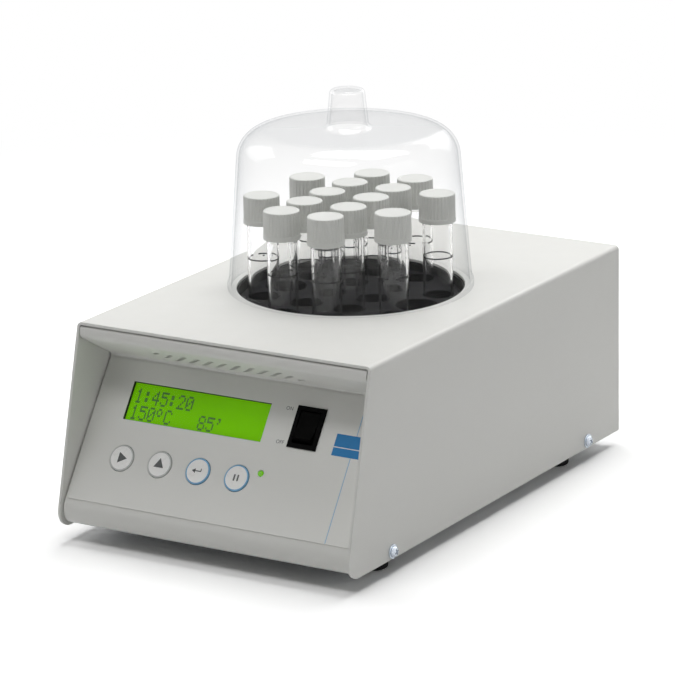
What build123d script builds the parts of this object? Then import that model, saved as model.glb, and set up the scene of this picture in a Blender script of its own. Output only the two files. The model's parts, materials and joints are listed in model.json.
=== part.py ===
"""Chemical oxygen demand reactor: a dry-block heater for fourteen test vials.

A heated aluminium block stands in a folded sheet housing with a sloping control panel under
a hood.  Fourteen capped glass vials and two wider free wells stand in the block, under a
clear dome that lifts off.

Units are millimetres.  +Z is up, the panel faces -Y, and the origin lies on the bench under
the middle of the housing.
"""
import os
from math import cos, pi, radians, sin, tan

from build123d import *

os.makedirs("parts", exist_ok=True)

# --- Driving dimensions: housing --------------------------------------------------------
WIDTH = 175.0  # across the cover's two cheeks
DEPTH = 284.5  # foremost point of the cheeks to the rear edge
COVER_HEIGHT = 104.7
BENCH_GAP = 8.0  # bench to the lower edge of the cover
SHEET = 1.5  # cover, front panel and rear panel
COVER_BEND_RADIUS = 2.5
CHEEK_RAKE = 14.11  # front edge of a cheek, degrees from upright
CHEEK_CORNER_RADIUS = 9.0
REAR_RECESS = 4.0  # rear panel inside the cover's rear edge
FIT_GAP = 0.3  # between pieces that slip into each other
SCREW_RADIUS = 1.5
SCREW_HOLE_RADIUS = 1.7
NUT_RADIUS = 2.9
NUT_LENGTH = 3.0

# --- Driving dimensions: base pan and feet ----------------------------------------------
PAN_SHEET = 1.2
PAN_RECESS = 0.2  # pan's underside above the cover's lower edge
PAN_FLANGE_HEIGHT = 14.0
PAN_VENT_LENGTH = 44.0
PAN_VENT_WIDTH = 3.0
PAN_VENT_PITCH = 8.0
PAN_VENT_COUNT = 7
FOOT_TOP_RADIUS = 9.0
FOOT_SOLE_RADIUS = 8.2
FOOT_SIDE_INSET = 15.5  # middle of a foot inside the cheek
FRONT_FOOT_SETBACK = 16.3  # behind the end of the front panel's flange
REAR_FOOT_SETBACK = 41.25  # ahead of the rear panel
FOOT_RECESS_RADIUS = 4.6
FOOT_RECESS_DEPTH = 3.6
FRONT_SCREW_SETBACK = 10.8  # behind the end of the front panel's flange
REAR_SCREW_SETBACK = 36.95  # ahead of the cover's rear edge
COVER_SCREW_RISE = 4.1  # above the cover's lower edge
WASHER_RADIUS = 3.8
WASHER_THICKNESS = 0.8
HEAD_RADIUS = 2.9
HEAD_HEIGHT = 1.9
HEAD_CHAMFER = 0.665
CROSS_LENGTH = 2.9
CROSS_WIDTH = 0.725
CROSS_DEPTH = 0.95
CROSS_TURN = 20.0  # degrees

# --- Driving dimensions: front panel ----------------------------------------------------
CHEEK_GAP = 0.6  # front panel to the inside of a cheek
HOOD_SEAM = 0.6  # under the cover's front edge
HOOD_FLANGE = 15.0
HOOD_DROP = 7.3  # cover top to the corner of the hood
HOOD_RADIUS = 4.0
SEAM_RADIUS = 1.7
SOFFIT_LENGTH = 32.36
SOFFIT_SLOPE = 29.5
CREASE_RADIUS = 1.5
PANEL_SLOPE = 55.2  # degrees from level
LIP_RADIUS = 8.5
LIP_FLANGE = 36.0
VENT_ROWS = 3
VENT_COUNT = 10
VENT_PITCH = 8.2
VENT_ROW_PITCH = 4.6
VENT_ROW_SHIFT = 4.1
VENT_MID_X = -6.0
VENT_MID_RISE = 13.0  # along the soffit from the crease
VENT_LENGTH = 6.6
VENT_WIDTH = 1.8
VENT_SLANT = 35.0

# --- Driving dimensions: controls, across and down the panel from its crease -------------
OVERLAY_THICKNESS = 0.5
OVERLAY_TOP = 1.8
OVERLAY_BOTTOM = 79.7
OVERLAY_SIDE_GAP = 1.0
DISPLAY_INSET = 19.3  # from the panel's left edge
DISPLAY_WIDTH = 83.6
DISPLAY_TOP = 13.0
DISPLAY_HEIGHT = 20.8
LENS_GAP = 0.15
MODULE_FRAME_WIDTH = 97.0
MODULE_FRAME_HEIGHT = 26.0
MODULE_FRAME_DEPTH = 6.4
MODULE_BOARD_WIDTH = 100.0
MODULE_BOARD_HEIGHT = 36.0
BOARD_THICKNESS = 1.6
BOARD_DEPTH = 15.0  # panel face to the control board
BOARD_INSET = 5.4  # from the panel's left edge
BOARD_WIDTH = 111.5
BOARD_TOP = 3.0
BOARD_BOTTOM = 72.0
KEY_INSET = 26.1  # first key from the panel's left edge
KEY_PITCH = 23.25
KEY_DOWN = 54.35
KEY_RADIUS = 7.0
KEY_GAP = 0.25
KEY_PROUD = 0.7
KEY_CAP_HEIGHT = 2.4
KEY_EDGE_RADIUS = 0.49
KEY_STEM_RADIUS = 2.5
KEY_STEM_LENGTH = 4.0
KEY_TRAVEL = 0.5
LED_INSET = 108.6  # from the panel's left edge
LED_DOWN = 49.8
LED_RADIUS = 1.5
LED_PROUD = 1.0
LED_EDGE_RADIUS = 0.9
SWITCH_INSET = 35.2  # from the panel's right edge
SWITCH_WIDTH = 16.9
SWITCH_TOP = 11.7
SWITCH_HEIGHT = 22.3
SWITCH_RIM = 1.0  # bezel above the overlay
SWITCH_EDGE_RADIUS = 0.5
SWITCH_BODY_INSET = 1.0  # body inside the bezel on each side
SWITCH_BODY_DEPTH = 19.0
SWITCH_WALL = 1.4
SWITCH_WELL_DEPTH = 8.5
ROCKER_GAP = 0.4
ROCKER_TILT = 10.0  # each way from level
ROCKER_SINK = 0.4  # raised end below flush
ROCKER_END_HEIGHT = 4.0  # above the pivot
ROCKER_DIP = 1.1  # middle of the rocker below its ends
ROCKER_PIN_RADIUS = 1.2
ROCKER_PIN_GAP = 0.05
ROCKER_PIN_END = 0.9
ROCKER_END_INSET = 0.8
CONTACT_SIZE = 6.2
CONTACT_BUTTON_RADIUS = 1.7
CONTACT_BUTTON_HEIGHT = 1.2
CHIP_WIDTH = 28.0
CHIP_DEPTH = 9.0
CHIP_HEIGHT = 3.2
HEADER_WIDTH = 18.0
HEADER_DEPTH = 6.0
HEADER_HEIGHT = 7.0
BUZZER_RADIUS = 6.0
BUZZER_HEIGHT = 8.0
BLADE_WIDTH = 6.3
BLADE_THICKNESS = 0.8
BLADE_LENGTH = 8.0
BLADE_PITCH = 6.5

# --- Driving dimensions: block, vials and dome -------------------------------------------
BLOCK_Y = 6.5
BLOCK_DROP = 5.5  # cover top to block top
BLOCK_RADIUS = 58.3
BLOCK_HEIGHT = 58.0
BLOCK_CHAMFER = 1.0
COVER_HOLE_RADIUS = 60.0
WELL_HALF_PITCH_X = 13.3
WELL_PITCH_Y = 22.6
WELL_GAP = 0.3
FREE_WELL_RADIUS = 11.1
FREE_WELL_DEPTH = 46.0
VIAL_RADIUS = 8.0
VIAL_WALL = 1.2
VIAL_LENGTH = 100.0
VIAL_NECK_RADIUS = 7.1
VIAL_NECK_LENGTH = 13.0
VIAL_SHOULDER = 1.6
CAP_RADIUS = 9.75
CAP_TOP_RADIUS = 9.6
CAP_HEIGHT = 15.0
CAP_TOP_RISE = 49.3  # above the cover's top
CAP_WALL = 1.2
CAP_TOP_WALL = 1.4
CAP_SKIRT_HEIGHT = 2.2
CAP_RIBS = 30
CAP_RIB_DEPTH = 0.45
CAP_RIM_CHAMFER = 0.6
COLLAR_RADIUS = 70.0
COLLAR_GAP = 0.7  # to the block
COLLAR_HEIGHT = 7.5
JACKET_GAP = 0.5
JACKET_FLOOR = 5.0
HEATER_RADIUS = 57.5
HEATER_THICKNESS = 8.0
HEATER_GAP = 3.2  # heater to the jacket's floor
POST_RADIUS = 6.0
POST_NECK_RADIUS = 3.0
POST_CIRCLE_RADIUS = 42.0
POST_COUNT = 3
POST_TURN = 30.0  # first post from +X, degrees
TERMINAL_RADIUS = 2.0
TERMINAL_SPAN = 16.0
TERMINAL_Y = 30.0
TERMINAL_LENGTH = 17.0
CUTOUT_RADIUS = 8.0
CUTOUT_HEIGHT = 9.0
CUTOUT_Y = -28.0
CUTOUT_GAP = 1.0  # to the jacket's floor
PROBE_RADIUS = 2.0
PROBE_DEPTH = 28.0
PROBE_RISE = 5.0  # above the block's underside
PROBE_FERRULE_RADIUS = 3.5
PROBE_FERRULE_LENGTH = 9.0

DOME_RADIUS = 64.1
DOME_TAPER = 0.08  # radius lost for each millimetre of height
DOME_TOP = 85.5
DOME_WALL = 1.2
DOME_BEAD_RADIUS = 0.4
DOME_SHOULDER_RADIUS = 15.5
DOME_RIM_RADIUS = 64.75
DOME_RIM_HEIGHT = 3.0
DOME_SEAT_GAP = 0.1
KNOB_TOP = 106.8
KNOB_BASE_RADIUS = 11.15
KNOB_TOP_RADIUS = 9.15
KNOB_FLARE_RADIUS = 3.2
KNOB_EDGE_RADIUS = 2.2

# --- Driving dimensions: power supply ----------------------------------------------------
CORE_X = -48.0
CORE_SETBACK = 26.75  # ahead of the rear panel
CORE_WIDTH = 48.0
CORE_DEPTH = 18.0
CORE_HEIGHT = 37.0
COIL_WIDTH = 31.0
COIL_DEPTH = 33.0
COIL_HEIGHT = 24.0
COIL_CORNER_RADIUS = 6.0
CORE_FOOT = 7.0
POWER_BOARD_X = 28.0
POWER_BOARD_SETBACK = 29.75  # ahead of the rear panel
POWER_BOARD_WIDTH = 88.0
POWER_BOARD_DEPTH = 46.0
POWER_BOARD_RISE = 8.0
RELAY_WIDTH = 19.0
RELAY_DEPTH = 15.5
RELAY_HEIGHT = 15.0
CAPACITOR_RADIUS = 6.5
CAPACITOR_HEIGHT = 18.0
CLAMP_WIDTH = 20.0
CLAMP_DEPTH = 10.0
CLAMP_HEIGHT = 11.0
SINK_WEB = 3.0
SINK_DEPTH = 34.0
SINK_HEIGHT = 24.0
SINK_FINS = 6
SINK_FIN_PITCH = 6.0
SINK_FIN_WIDTH = 16.0
SINK_FIN_THICKNESS = 1.5
STANDOFF_RADIUS = 2.6
STANDOFF_INSET = 4.5
INLET_X = -48.0
INLET_RISE = 72.0  # above the bench
INLET_FLANGE_WIDTH = 31.0
INLET_FLANGE_HEIGHT = 44.0
INLET_FLANGE_THICKNESS = 2.4
INLET_CORNER_RADIUS = 2.5
INLET_BODY_WIDTH = 27.0
INLET_BODY_HEIGHT = 40.0
INLET_BODY_DEPTH = 23.0
SOCKET_WIDTH = 24.2
SOCKET_HEIGHT = 16.4
SOCKET_DEPTH = 17.0
SOCKET_CHAMFER = 4.1
SOCKET_UP = 9.0  # socket's middle above the inlet's
PIN_WIDTH = 2.0
PIN_HEIGHT = 4.0
PIN_LENGTH = 14.0
PIN_SPAN = 14.0
DRAWER_WIDTH = 22.0
DRAWER_HEIGHT = 8.0
DRAWER_DEPTH = 19.0
DRAWER_DOWN = 10.5  # drawer's middle under the inlet's
DRAWER_GAP = 0.3
DRAWER_FACE = 1.2
DRAWER_GROOVE_WIDTH = 7.3
DRAWER_GROOVE_HEIGHT = 2.7
DRAWER_GROOVE_DEPTH = 0.9
REAR_VENT_COLUMNS = 9
REAR_VENT_ROWS = 2
REAR_VENT_LENGTH = 22.0
REAR_VENT_WIDTH = 3.0
REAR_VENT_PITCH = 7.5
REAR_VENT_ROW_PITCH = 30.0
REAR_VENT_X = 32.0
REAR_VENT_Z = 76.0
PANEL_SCREW_SPAN = 130.0
REAR_SCREW_RISE = 6.5  # above the pan's floor

# --- Levels and places worked out from them ----------------------------------------------
TOP_Z = BENCH_GAP + COVER_HEIGHT
FRONT_Y = -DEPTH / 2
REAR_Y = DEPTH / 2
RAKE = radians(CHEEK_RAKE)
CORNER_DROP = CHEEK_CORNER_RADIUS - (COVER_HEIGHT - CHEEK_CORNER_RADIUS) * sin(RAKE)
TOP_FRONT_Y = FRONT_Y + CHEEK_CORNER_RADIUS - CORNER_DROP / cos(RAKE)
PAN_Z = BENCH_GAP + PAN_RECESS
FLOOR_Z = PAN_Z + PAN_SHEET
CEILING_Z = TOP_Z - SHEET
INNER_WIDTH = WIDTH - 2 * SHEET
REAR_PANEL_Y = REAR_Y - REAR_RECESS - SHEET  # its inner face

SLOPE = radians(PANEL_SLOPE)
SOFFIT = radians(SOFFIT_SLOPE)
HOOD_TOP_Z = CEILING_Z - HOOD_SEAM
HOOD_TOP_Y = TOP_FRONT_Y - (TOP_Z - HOOD_TOP_Z) * tan(RAKE)
HOOD_Y = TOP_FRONT_Y - HOOD_DROP * tan(RAKE)
HOOD_Z = TOP_Z - HOOD_DROP
CREASE_Y = HOOD_Y + SOFFIT_LENGTH * cos(SOFFIT)
CREASE_Z = HOOD_Z - SOFFIT_LENGTH * sin(SOFFIT)
LIP_Y = CREASE_Y - (CREASE_Z - FLOOR_Z) / tan(SLOPE)
FLANGE_END_Y = LIP_Y + LIP_FLANGE
PANEL_WIDTH = INNER_WIDTH - 2 * CHEEK_GAP
FLANGE_SCREW_Y = FLANGE_END_Y - LIP_FLANGE / 4
FOOT_SPAN_X = WIDTH - 2 * FOOT_SIDE_INSET
FRONT_FOOT_Y = FLANGE_END_Y + FRONT_FOOT_SETBACK
REAR_FOOT_Y = REAR_PANEL_Y - REAR_FOOT_SETBACK
FRONT_SCREW_Y = FLANGE_END_Y + FRONT_SCREW_SETBACK
REAR_SCREW_Y = REAR_Y - REAR_SCREW_SETBACK
COVER_SCREW_Z = BENCH_GAP + COVER_SCREW_RISE
FOOT_PLACES = [
    (side * FOOT_SPAN_X / 2, y) for side in (-1, 1) for y in (FRONT_FOOT_Y, REAR_FOOT_Y)
]
COVER_SCREW_PLACES = [(y, COVER_SCREW_Z) for y in (FRONT_SCREW_Y, REAR_SCREW_Y)]

# The panel's plane has its origin on the crease: +X across, +Y up the panel, +Z out of it.
PANEL = Plane(origin=(0, CREASE_Y, CREASE_Z), x_dir=(1, 0, 0), z_dir=(0, -sin(SLOPE), cos(SLOPE)))
OUTWARDS = Axis(PANEL.origin, PANEL.z_dir)
# The soffit's plane has the same origin: +Y runs forwards to the hood, +Z points down.
UNDER_HOOD = Plane(
    origin=(0, CREASE_Y, CREASE_Z), x_dir=(1, 0, 0), z_dir=(0, -sin(SOFFIT), -cos(SOFFIT))
)
PANEL_LEFT = -PANEL_WIDTH / 2
DISPLAY_X = PANEL_LEFT + DISPLAY_INSET + DISPLAY_WIDTH / 2
DISPLAY_UP = -(DISPLAY_TOP + DISPLAY_HEIGHT / 2)
SWITCH_X = PANEL_WIDTH / 2 - SWITCH_INSET - SWITCH_WIDTH / 2
LED_X = PANEL_LEFT + LED_INSET
SWITCH_UP = -(SWITCH_TOP + SWITCH_HEIGHT / 2)
SWITCH_BODY_WIDTH = SWITCH_WIDTH - 2 * SWITCH_BODY_INSET
SWITCH_BODY_HEIGHT = SWITCH_HEIGHT - 2 * SWITCH_BODY_INSET
SWITCH_FACE = OVERLAY_THICKNESS + SWITCH_RIM
WELL_WIDTH = SWITCH_BODY_WIDTH - 2 * SWITCH_WALL
KEY_PLACES = [(PANEL_LEFT + KEY_INSET + i * KEY_PITCH, -KEY_DOWN) for i in range(4)]
KEY_NAMES = ["key_right", "key_up", "key_enter", "key_start"]

BLOCK_TOP_Z = TOP_Z - BLOCK_DROP
BLOCK_Z = BLOCK_TOP_Z - BLOCK_HEIGHT
CAP_TOP_Z = TOP_Z + CAP_TOP_RISE
VIAL_TOP_Z = CAP_TOP_Z - CAP_TOP_WALL - FIT_GAP
VIAL_Z = VIAL_TOP_Z - VIAL_LENGTH
WELL_RADIUS = VIAL_RADIUS + WELL_GAP
WELL_FLOOR_Z = VIAL_Z - WELL_GAP
CAP_BORE_RADIUS = CAP_RADIUS - CAP_WALL
WELL_COLUMNS = {-2: (-1, 1), -1: (-3, -1, 1, 3), 0: (-1, 1), 1: (-3, -1, 1, 3), 2: (-1, 1)}
VIAL_PLACES = [
    (column * WELL_HALF_PITCH_X, BLOCK_Y + row * WELL_PITCH_Y)
    for row, columns in WELL_COLUMNS.items()
    for column in columns
]
FREE_WELL_PLACES = [(side * 3 * WELL_HALF_PITCH_X, BLOCK_Y) for side in (-1, 1)]
COLLAR_BORE_RADIUS = BLOCK_RADIUS + COLLAR_GAP
COLLAR_TOP_Z = CEILING_Z - FIT_GAP
JACKET_TOP_Z = COLLAR_TOP_Z - COLLAR_HEIGHT
HEATER_Z = BLOCK_Z - HEATER_THICKNESS
JACKET_Z = HEATER_Z - HEATER_GAP - JACKET_FLOOR
JACKET_BORE_RADIUS = BLOCK_RADIUS + JACKET_GAP
PROBE_Z = BLOCK_Z + PROBE_RISE
INLET_Z = INLET_RISE
SOCKET_Z = INLET_Z + SOCKET_UP
DRAWER_Z = INLET_Z - DRAWER_DOWN
INLET_FACE_Y = REAR_PANEL_Y + SHEET + INLET_FLANGE_THICKNESS
CORE_Y = REAR_PANEL_Y - CORE_SETBACK
POWER_BOARD_Y = REAR_PANEL_Y - POWER_BOARD_SETBACK
UPRIGHT = (Align.CENTER, Align.CENTER, Align.MIN)
HANGING = (Align.CENTER, Align.CENTER, Align.MAX)


def save(node, name):
    """Label a finished piece and write it to its own file."""
    node.part.label = name
    export_step(node.part, f"parts/{name}.step")


# --- Cover: a folded U of sheet, its ends cut to the outline of the cheeks ----------------
with BuildPart() as cover:
    with BuildSketch(Plane.XZ) as folded_section:
        with Locations((0, TOP_Z)):
            Rectangle(WIDTH, COVER_HEIGHT, align=(Align.CENTER, Align.MAX))
        fillet(folded_section.vertices().group_by(Axis.Y)[-1], COVER_BEND_RADIUS)
        with BuildSketch(mode=Mode.PRIVATE) as hollow:
            with Locations((0, CEILING_Z)):
                Rectangle(INNER_WIDTH, COVER_HEIGHT, align=(Align.CENTER, Align.MAX))
            fillet(hollow.vertices().group_by(Axis.Y)[-1], COVER_BEND_RADIUS - SHEET)
        add(hollow.sketch, mode=Mode.SUBTRACT)
    extrude(amount=DEPTH, both=True)
    with BuildSketch(Plane.YZ) as cheek_outline:
        with BuildLine():
            Polyline(
                (TOP_FRONT_Y, TOP_Z),
                (REAR_Y, TOP_Z),
                (REAR_Y, BENCH_GAP),
                (TOP_FRONT_Y - COVER_HEIGHT * tan(RAKE), BENCH_GAP),
                close=True,
            )
        make_face()
        fillet(cheek_outline.vertices().sort_by(Axis.X)[0], CHEEK_CORNER_RADIUS)
    extrude(amount=WIDTH, both=True, mode=Mode.INTERSECT)
    with Locations((0, BLOCK_Y, TOP_Z)):
        Hole(COVER_HOLE_RADIUS, depth=2 * SHEET)
    with BuildSketch(Plane.YZ):
        with Locations(COVER_SCREW_PLACES):
            Circle(SCREW_HOLE_RADIUS)
    extrude(amount=WIDTH, both=True, mode=Mode.SUBTRACT)
save(cover, "cover")

# --- Front panel: hood, soffit, sloping panel and rolled lip folded from one sheet --------
with BuildPart() as front_panel:
    with BuildSketch(Plane.YZ) as fold:
        with BuildLine():
            outer_face = FilletPolyline(
                (HOOD_TOP_Y + HOOD_FLANGE, HOOD_TOP_Z),
                (HOOD_TOP_Y, HOOD_TOP_Z),
                (HOOD_Y, HOOD_Z),
                (CREASE_Y, CREASE_Z),
                (LIP_Y, FLOOR_Z),
                (FLANGE_END_Y, FLOOR_Z),
                radius=[SEAM_RADIUS, HOOD_RADIUS, CREASE_RADIUS, LIP_RADIUS],
            )
            offset(outer_face, amount=SHEET, side=Side.LEFT)
        make_face()
    extrude(amount=PANEL_WIDTH / 2, both=True)
    with BuildSketch(PANEL.offset(SHEET)):
        with Locations((DISPLAY_X, DISPLAY_UP)):
            Rectangle(DISPLAY_WIDTH, DISPLAY_HEIGHT)
        with Locations(KEY_PLACES):
            Circle(KEY_RADIUS + KEY_GAP)
        with Locations((LED_X, -LED_DOWN)):
            Circle(LED_RADIUS + KEY_GAP)
        with Locations((SWITCH_X, SWITCH_UP)):
            Rectangle(SWITCH_BODY_WIDTH + KEY_GAP, SWITCH_BODY_HEIGHT + KEY_GAP)
    extrude(amount=-3 * SHEET, mode=Mode.SUBTRACT)
    with BuildSketch(UNDER_HOOD.offset(SHEET)):
        for row in range(VENT_ROWS):
            rank = row - (VENT_ROWS - 1) / 2
            place = (VENT_MID_X - rank * VENT_ROW_SHIFT, VENT_MID_RISE + rank * VENT_ROW_PITCH)
            with Locations(place):
                with GridLocations(VENT_PITCH, 0, VENT_COUNT, 1):
                    SlotOverall(VENT_LENGTH, VENT_WIDTH, rotation=VENT_SLANT)
    extrude(amount=-3 * SHEET, mode=Mode.SUBTRACT)
    with Locations((0, FLANGE_SCREW_Y, FLOOR_Z)):
        with GridLocations(PANEL_SCREW_SPAN, 0, 2, 1):
            Cylinder(SCREW_HOLE_RADIUS, 4 * SHEET, mode=Mode.SUBTRACT)
save(front_panel, "front_panel")

# --- Base pan: floor with cooling slots, side and rear flanges turned up -------------------
with BuildPart() as base_pan:
    pan_front = LIP_Y + 2 * LIP_RADIUS
    pan_width = INNER_WIDTH - 2 * FIT_GAP
    with BuildSketch(Plane.XY.offset(PAN_Z)):
        with Locations((0, pan_front)):
            Rectangle(pan_width, REAR_PANEL_Y - pan_front, align=(Align.CENTER, Align.MIN))
    extrude(amount=PAN_SHEET)
    flange_start = FLANGE_END_Y + FIT_GAP
    with BuildSketch(Plane.XY.offset(PAN_Z)):
        with Locations((0, flange_start)):
            Rectangle(pan_width, REAR_PANEL_Y - flange_start, align=(Align.CENTER, Align.MIN))
        with Locations((0, flange_start - SHEET)):
            Rectangle(
                pan_width - 2 * PAN_SHEET,
                REAR_PANEL_Y - PAN_SHEET - flange_start + SHEET,
                align=(Align.CENTER, Align.MIN),
                mode=Mode.SUBTRACT,
            )
    extrude(amount=PAN_FLANGE_HEIGHT)
    with BuildSketch(Plane.XY.offset(PAN_Z)):
        with Locations((0, BLOCK_Y)):
            with GridLocations(PAN_VENT_PITCH, 0, PAN_VENT_COUNT, 1):
                SlotOverall(PAN_VENT_LENGTH, PAN_VENT_WIDTH, rotation=90)
        with Locations(FOOT_PLACES):
            Circle(SCREW_HOLE_RADIUS)
        with Locations((0, FLANGE_SCREW_Y)):
            with GridLocations(PANEL_SCREW_SPAN, 0, 2, 1):
                Circle(SCREW_HOLE_RADIUS)
    extrude(amount=PAN_SHEET, mode=Mode.SUBTRACT)
    with BuildSketch(Plane.YZ):
        with Locations(COVER_SCREW_PLACES):
            Circle(SCREW_HOLE_RADIUS)
    extrude(amount=WIDTH, both=True, mode=Mode.SUBTRACT)
    with BuildSketch(Plane.XZ.offset(-REAR_Y)):
        with Locations((0, FLOOR_Z + REAR_SCREW_RISE)):
            with GridLocations(PANEL_SCREW_SPAN, 0, 2, 1):
                Circle(SCREW_HOLE_RADIUS)
    extrude(amount=2 * REAR_RECESS + 2 * SHEET, mode=Mode.SUBTRACT)
save(base_pan, "base_pan")

# --- Rear panel: flat plate with cooling slots and the cut-out of the power inlet ----------
with BuildPart() as rear_panel:
    with BuildSketch(Plane.XZ.offset(-REAR_PANEL_Y - SHEET)):
        with Locations((0, FLOOR_Z)):
            Rectangle(
                INNER_WIDTH - 2 * FIT_GAP,
                CEILING_Z - FIT_GAP - FLOOR_Z,
                align=(Align.CENTER, Align.MIN),
            )
        with Locations((INLET_X, INLET_Z)):
            Rectangle(
                INLET_BODY_WIDTH + FIT_GAP, INLET_BODY_HEIGHT + FIT_GAP, mode=Mode.SUBTRACT
            )
        with Locations((REAR_VENT_X, REAR_VENT_Z)):
            with GridLocations(
                REAR_VENT_PITCH, REAR_VENT_ROW_PITCH, REAR_VENT_COLUMNS, REAR_VENT_ROWS
            ):
                SlotOverall(REAR_VENT_LENGTH, REAR_VENT_WIDTH, rotation=90, mode=Mode.SUBTRACT)
        with Locations((0, FLOOR_Z + REAR_SCREW_RISE)):
            with GridLocations(PANEL_SCREW_SPAN, 0, 2, 1):
                Circle(SCREW_HOLE_RADIUS, mode=Mode.SUBTRACT)
    extrude(amount=SHEET)
save(rear_panel, "rear_panel")

# --- Rubber feet, each with a recess that hides the head of its screw ----------------------
foot_screw_grip = PAN_Z - FOOT_RECESS_DEPTH
with BuildPart() as rubber_feet:
    with Locations(FOOT_PLACES):
        Cone(FOOT_SOLE_RADIUS, FOOT_TOP_RADIUS, PAN_Z, align=UPRIGHT)
    with Locations(FOOT_PLACES):
        Cylinder(FOOT_RECESS_RADIUS, FOOT_RECESS_DEPTH, align=UPRIGHT, mode=Mode.SUBTRACT)
        Cylinder(SCREW_HOLE_RADIUS, PAN_Z, align=UPRIGHT, mode=Mode.SUBTRACT)
save(rubber_feet, "rubber_feet")

with BuildPart() as foot_screws:
    with Locations((0, 0, FOOT_RECESS_DEPTH)):
        with Locations(FOOT_PLACES):
            Cylinder(HEAD_RADIUS, HEAD_HEIGHT, align=HANGING)
            Cylinder(SCREW_RADIUS, foot_screw_grip + PAN_SHEET + NUT_LENGTH, align=UPRIGHT)
    with BuildSketch(Plane.XY.offset(FLOOR_Z)):
        with Locations(FOOT_PLACES):
            RegularPolygon(NUT_RADIUS, 6)
    extrude(amount=NUT_LENGTH)
save(foot_screws, "foot_screws")

# --- Cover screws: pan heads with a cross, on washers, in nuts held by the pan -------------
with BuildPart() as cover_screws:
    with BuildSketch(Plane.YZ.offset(WIDTH / 2)) as screw_places:
        with Locations(COVER_SCREW_PLACES):
            Circle(WASHER_RADIUS)
    extrude(amount=WASHER_THICKNESS)
    with BuildSketch(Plane.YZ.offset(WIDTH / 2 + WASHER_THICKNESS)):
        with Locations(COVER_SCREW_PLACES):
            Circle(HEAD_RADIUS)
    extrude(amount=HEAD_HEIGHT)
    chamfer(cover_screws.faces().sort_by(Axis.X)[-2:].edges(), HEAD_CHAMFER)
    with BuildSketch(Plane.YZ.offset(WIDTH / 2)):
        with Locations(COVER_SCREW_PLACES):
            Circle(SCREW_RADIUS)
    extrude(amount=-(SHEET + FIT_GAP + PAN_SHEET + NUT_LENGTH))
    with BuildSketch(Plane.YZ.offset(WIDTH / 2 - SHEET - FIT_GAP - PAN_SHEET)):
        with Locations(COVER_SCREW_PLACES):
            RegularPolygon(COVER_SCREW_RISE - PAN_RECESS - PAN_SHEET, 6)
    extrude(amount=-NUT_LENGTH)
    with BuildSketch(Plane.YZ.offset(WIDTH / 2 + WASHER_THICKNESS + HEAD_HEIGHT)):
        with Locations(COVER_SCREW_PLACES):
            Rectangle(CROSS_LENGTH, CROSS_WIDTH, rotation=CROSS_TURN)
            Rectangle(CROSS_WIDTH, CROSS_LENGTH, rotation=CROSS_TURN)
    extrude(amount=-CROSS_DEPTH, mode=Mode.SUBTRACT)
    mirror(about=Plane.YZ)
save(cover_screws, "cover_screws")

# --- Panel screws: two behind hold the rear panel, two below hold the front panel -----------
with BuildPart() as panel_screws:
    with BuildSketch(Plane.XZ.offset(-REAR_PANEL_Y - SHEET)):
        with Locations((0, FLOOR_Z + REAR_SCREW_RISE)):
            with GridLocations(PANEL_SCREW_SPAN, 0, 2, 1):
                Circle(HEAD_RADIUS)
    extrude(amount=-HEAD_HEIGHT)
    with BuildSketch(Plane.XZ.offset(-REAR_PANEL_Y - SHEET)):
        with Locations((0, FLOOR_Z + REAR_SCREW_RISE)):
            with GridLocations(PANEL_SCREW_SPAN, 0, 2, 1):
                Circle(SCREW_RADIUS)
    extrude(amount=SHEET + PAN_SHEET + NUT_LENGTH)
    with BuildSketch(Plane.XZ.offset(-REAR_PANEL_Y + PAN_SHEET)):
        with Locations((0, FLOOR_Z + REAR_SCREW_RISE)):
            with GridLocations(PANEL_SCREW_SPAN, 0, 2, 1):
                RegularPolygon(NUT_RADIUS, 6)
    extrude(amount=NUT_LENGTH)
    with Locations((0, FLANGE_SCREW_Y, PAN_Z)):
        with GridLocations(PANEL_SCREW_SPAN, 0, 2, 1):
            Cylinder(HEAD_RADIUS, HEAD_HEIGHT, align=HANGING)
            Cylinder(SCREW_RADIUS, PAN_SHEET + SHEET + NUT_LENGTH, align=UPRIGHT)
    with BuildSketch(Plane.XY.offset(FLOOR_Z + SHEET)):
        with Locations((0, FLANGE_SCREW_Y)):
            with GridLocations(PANEL_SCREW_SPAN, 0, 2, 1):
                RegularPolygon(NUT_RADIUS, 6)
    extrude(amount=NUT_LENGTH)
save(panel_screws, "panel_screws")

# --- Keypad overlay: printed film on the panel, with a window and holes ---------------------
with BuildPart() as keypad_overlay:
    with BuildSketch(PANEL):
        with Locations((0, -OVERLAY_TOP)):
            Rectangle(
                PANEL_WIDTH - 2 * OVERLAY_SIDE_GAP,
                OVERLAY_BOTTOM - OVERLAY_TOP,
                align=(Align.CENTER, Align.MAX),
            )
        with Locations((DISPLAY_X, DISPLAY_UP)):
            Rectangle(DISPLAY_WIDTH, DISPLAY_HEIGHT, mode=Mode.SUBTRACT)
        with Locations(KEY_PLACES):
            Circle(KEY_RADIUS + KEY_GAP, mode=Mode.SUBTRACT)
        with Locations((LED_X, -LED_DOWN)):
            Circle(LED_RADIUS + KEY_GAP, mode=Mode.SUBTRACT)
        with Locations((SWITCH_X, SWITCH_UP)):
            Rectangle(
                SWITCH_BODY_WIDTH + KEY_GAP, SWITCH_BODY_HEIGHT + KEY_GAP, mode=Mode.SUBTRACT
            )
    extrude(amount=OVERLAY_THICKNESS)
save(keypad_overlay, "keypad_overlay")

# --- Display: clear lens flush with the overlay, and the module behind it -------------------
with BuildPart(PANEL.offset(-SHEET)) as display_window:
    with Locations((DISPLAY_X, DISPLAY_UP)):
        Box(
            DISPLAY_WIDTH - 2 * LENS_GAP,
            DISPLAY_HEIGHT - 2 * LENS_GAP,
            SHEET + OVERLAY_THICKNESS,
            align=UPRIGHT,
        )
save(display_window, "display_window")

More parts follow.
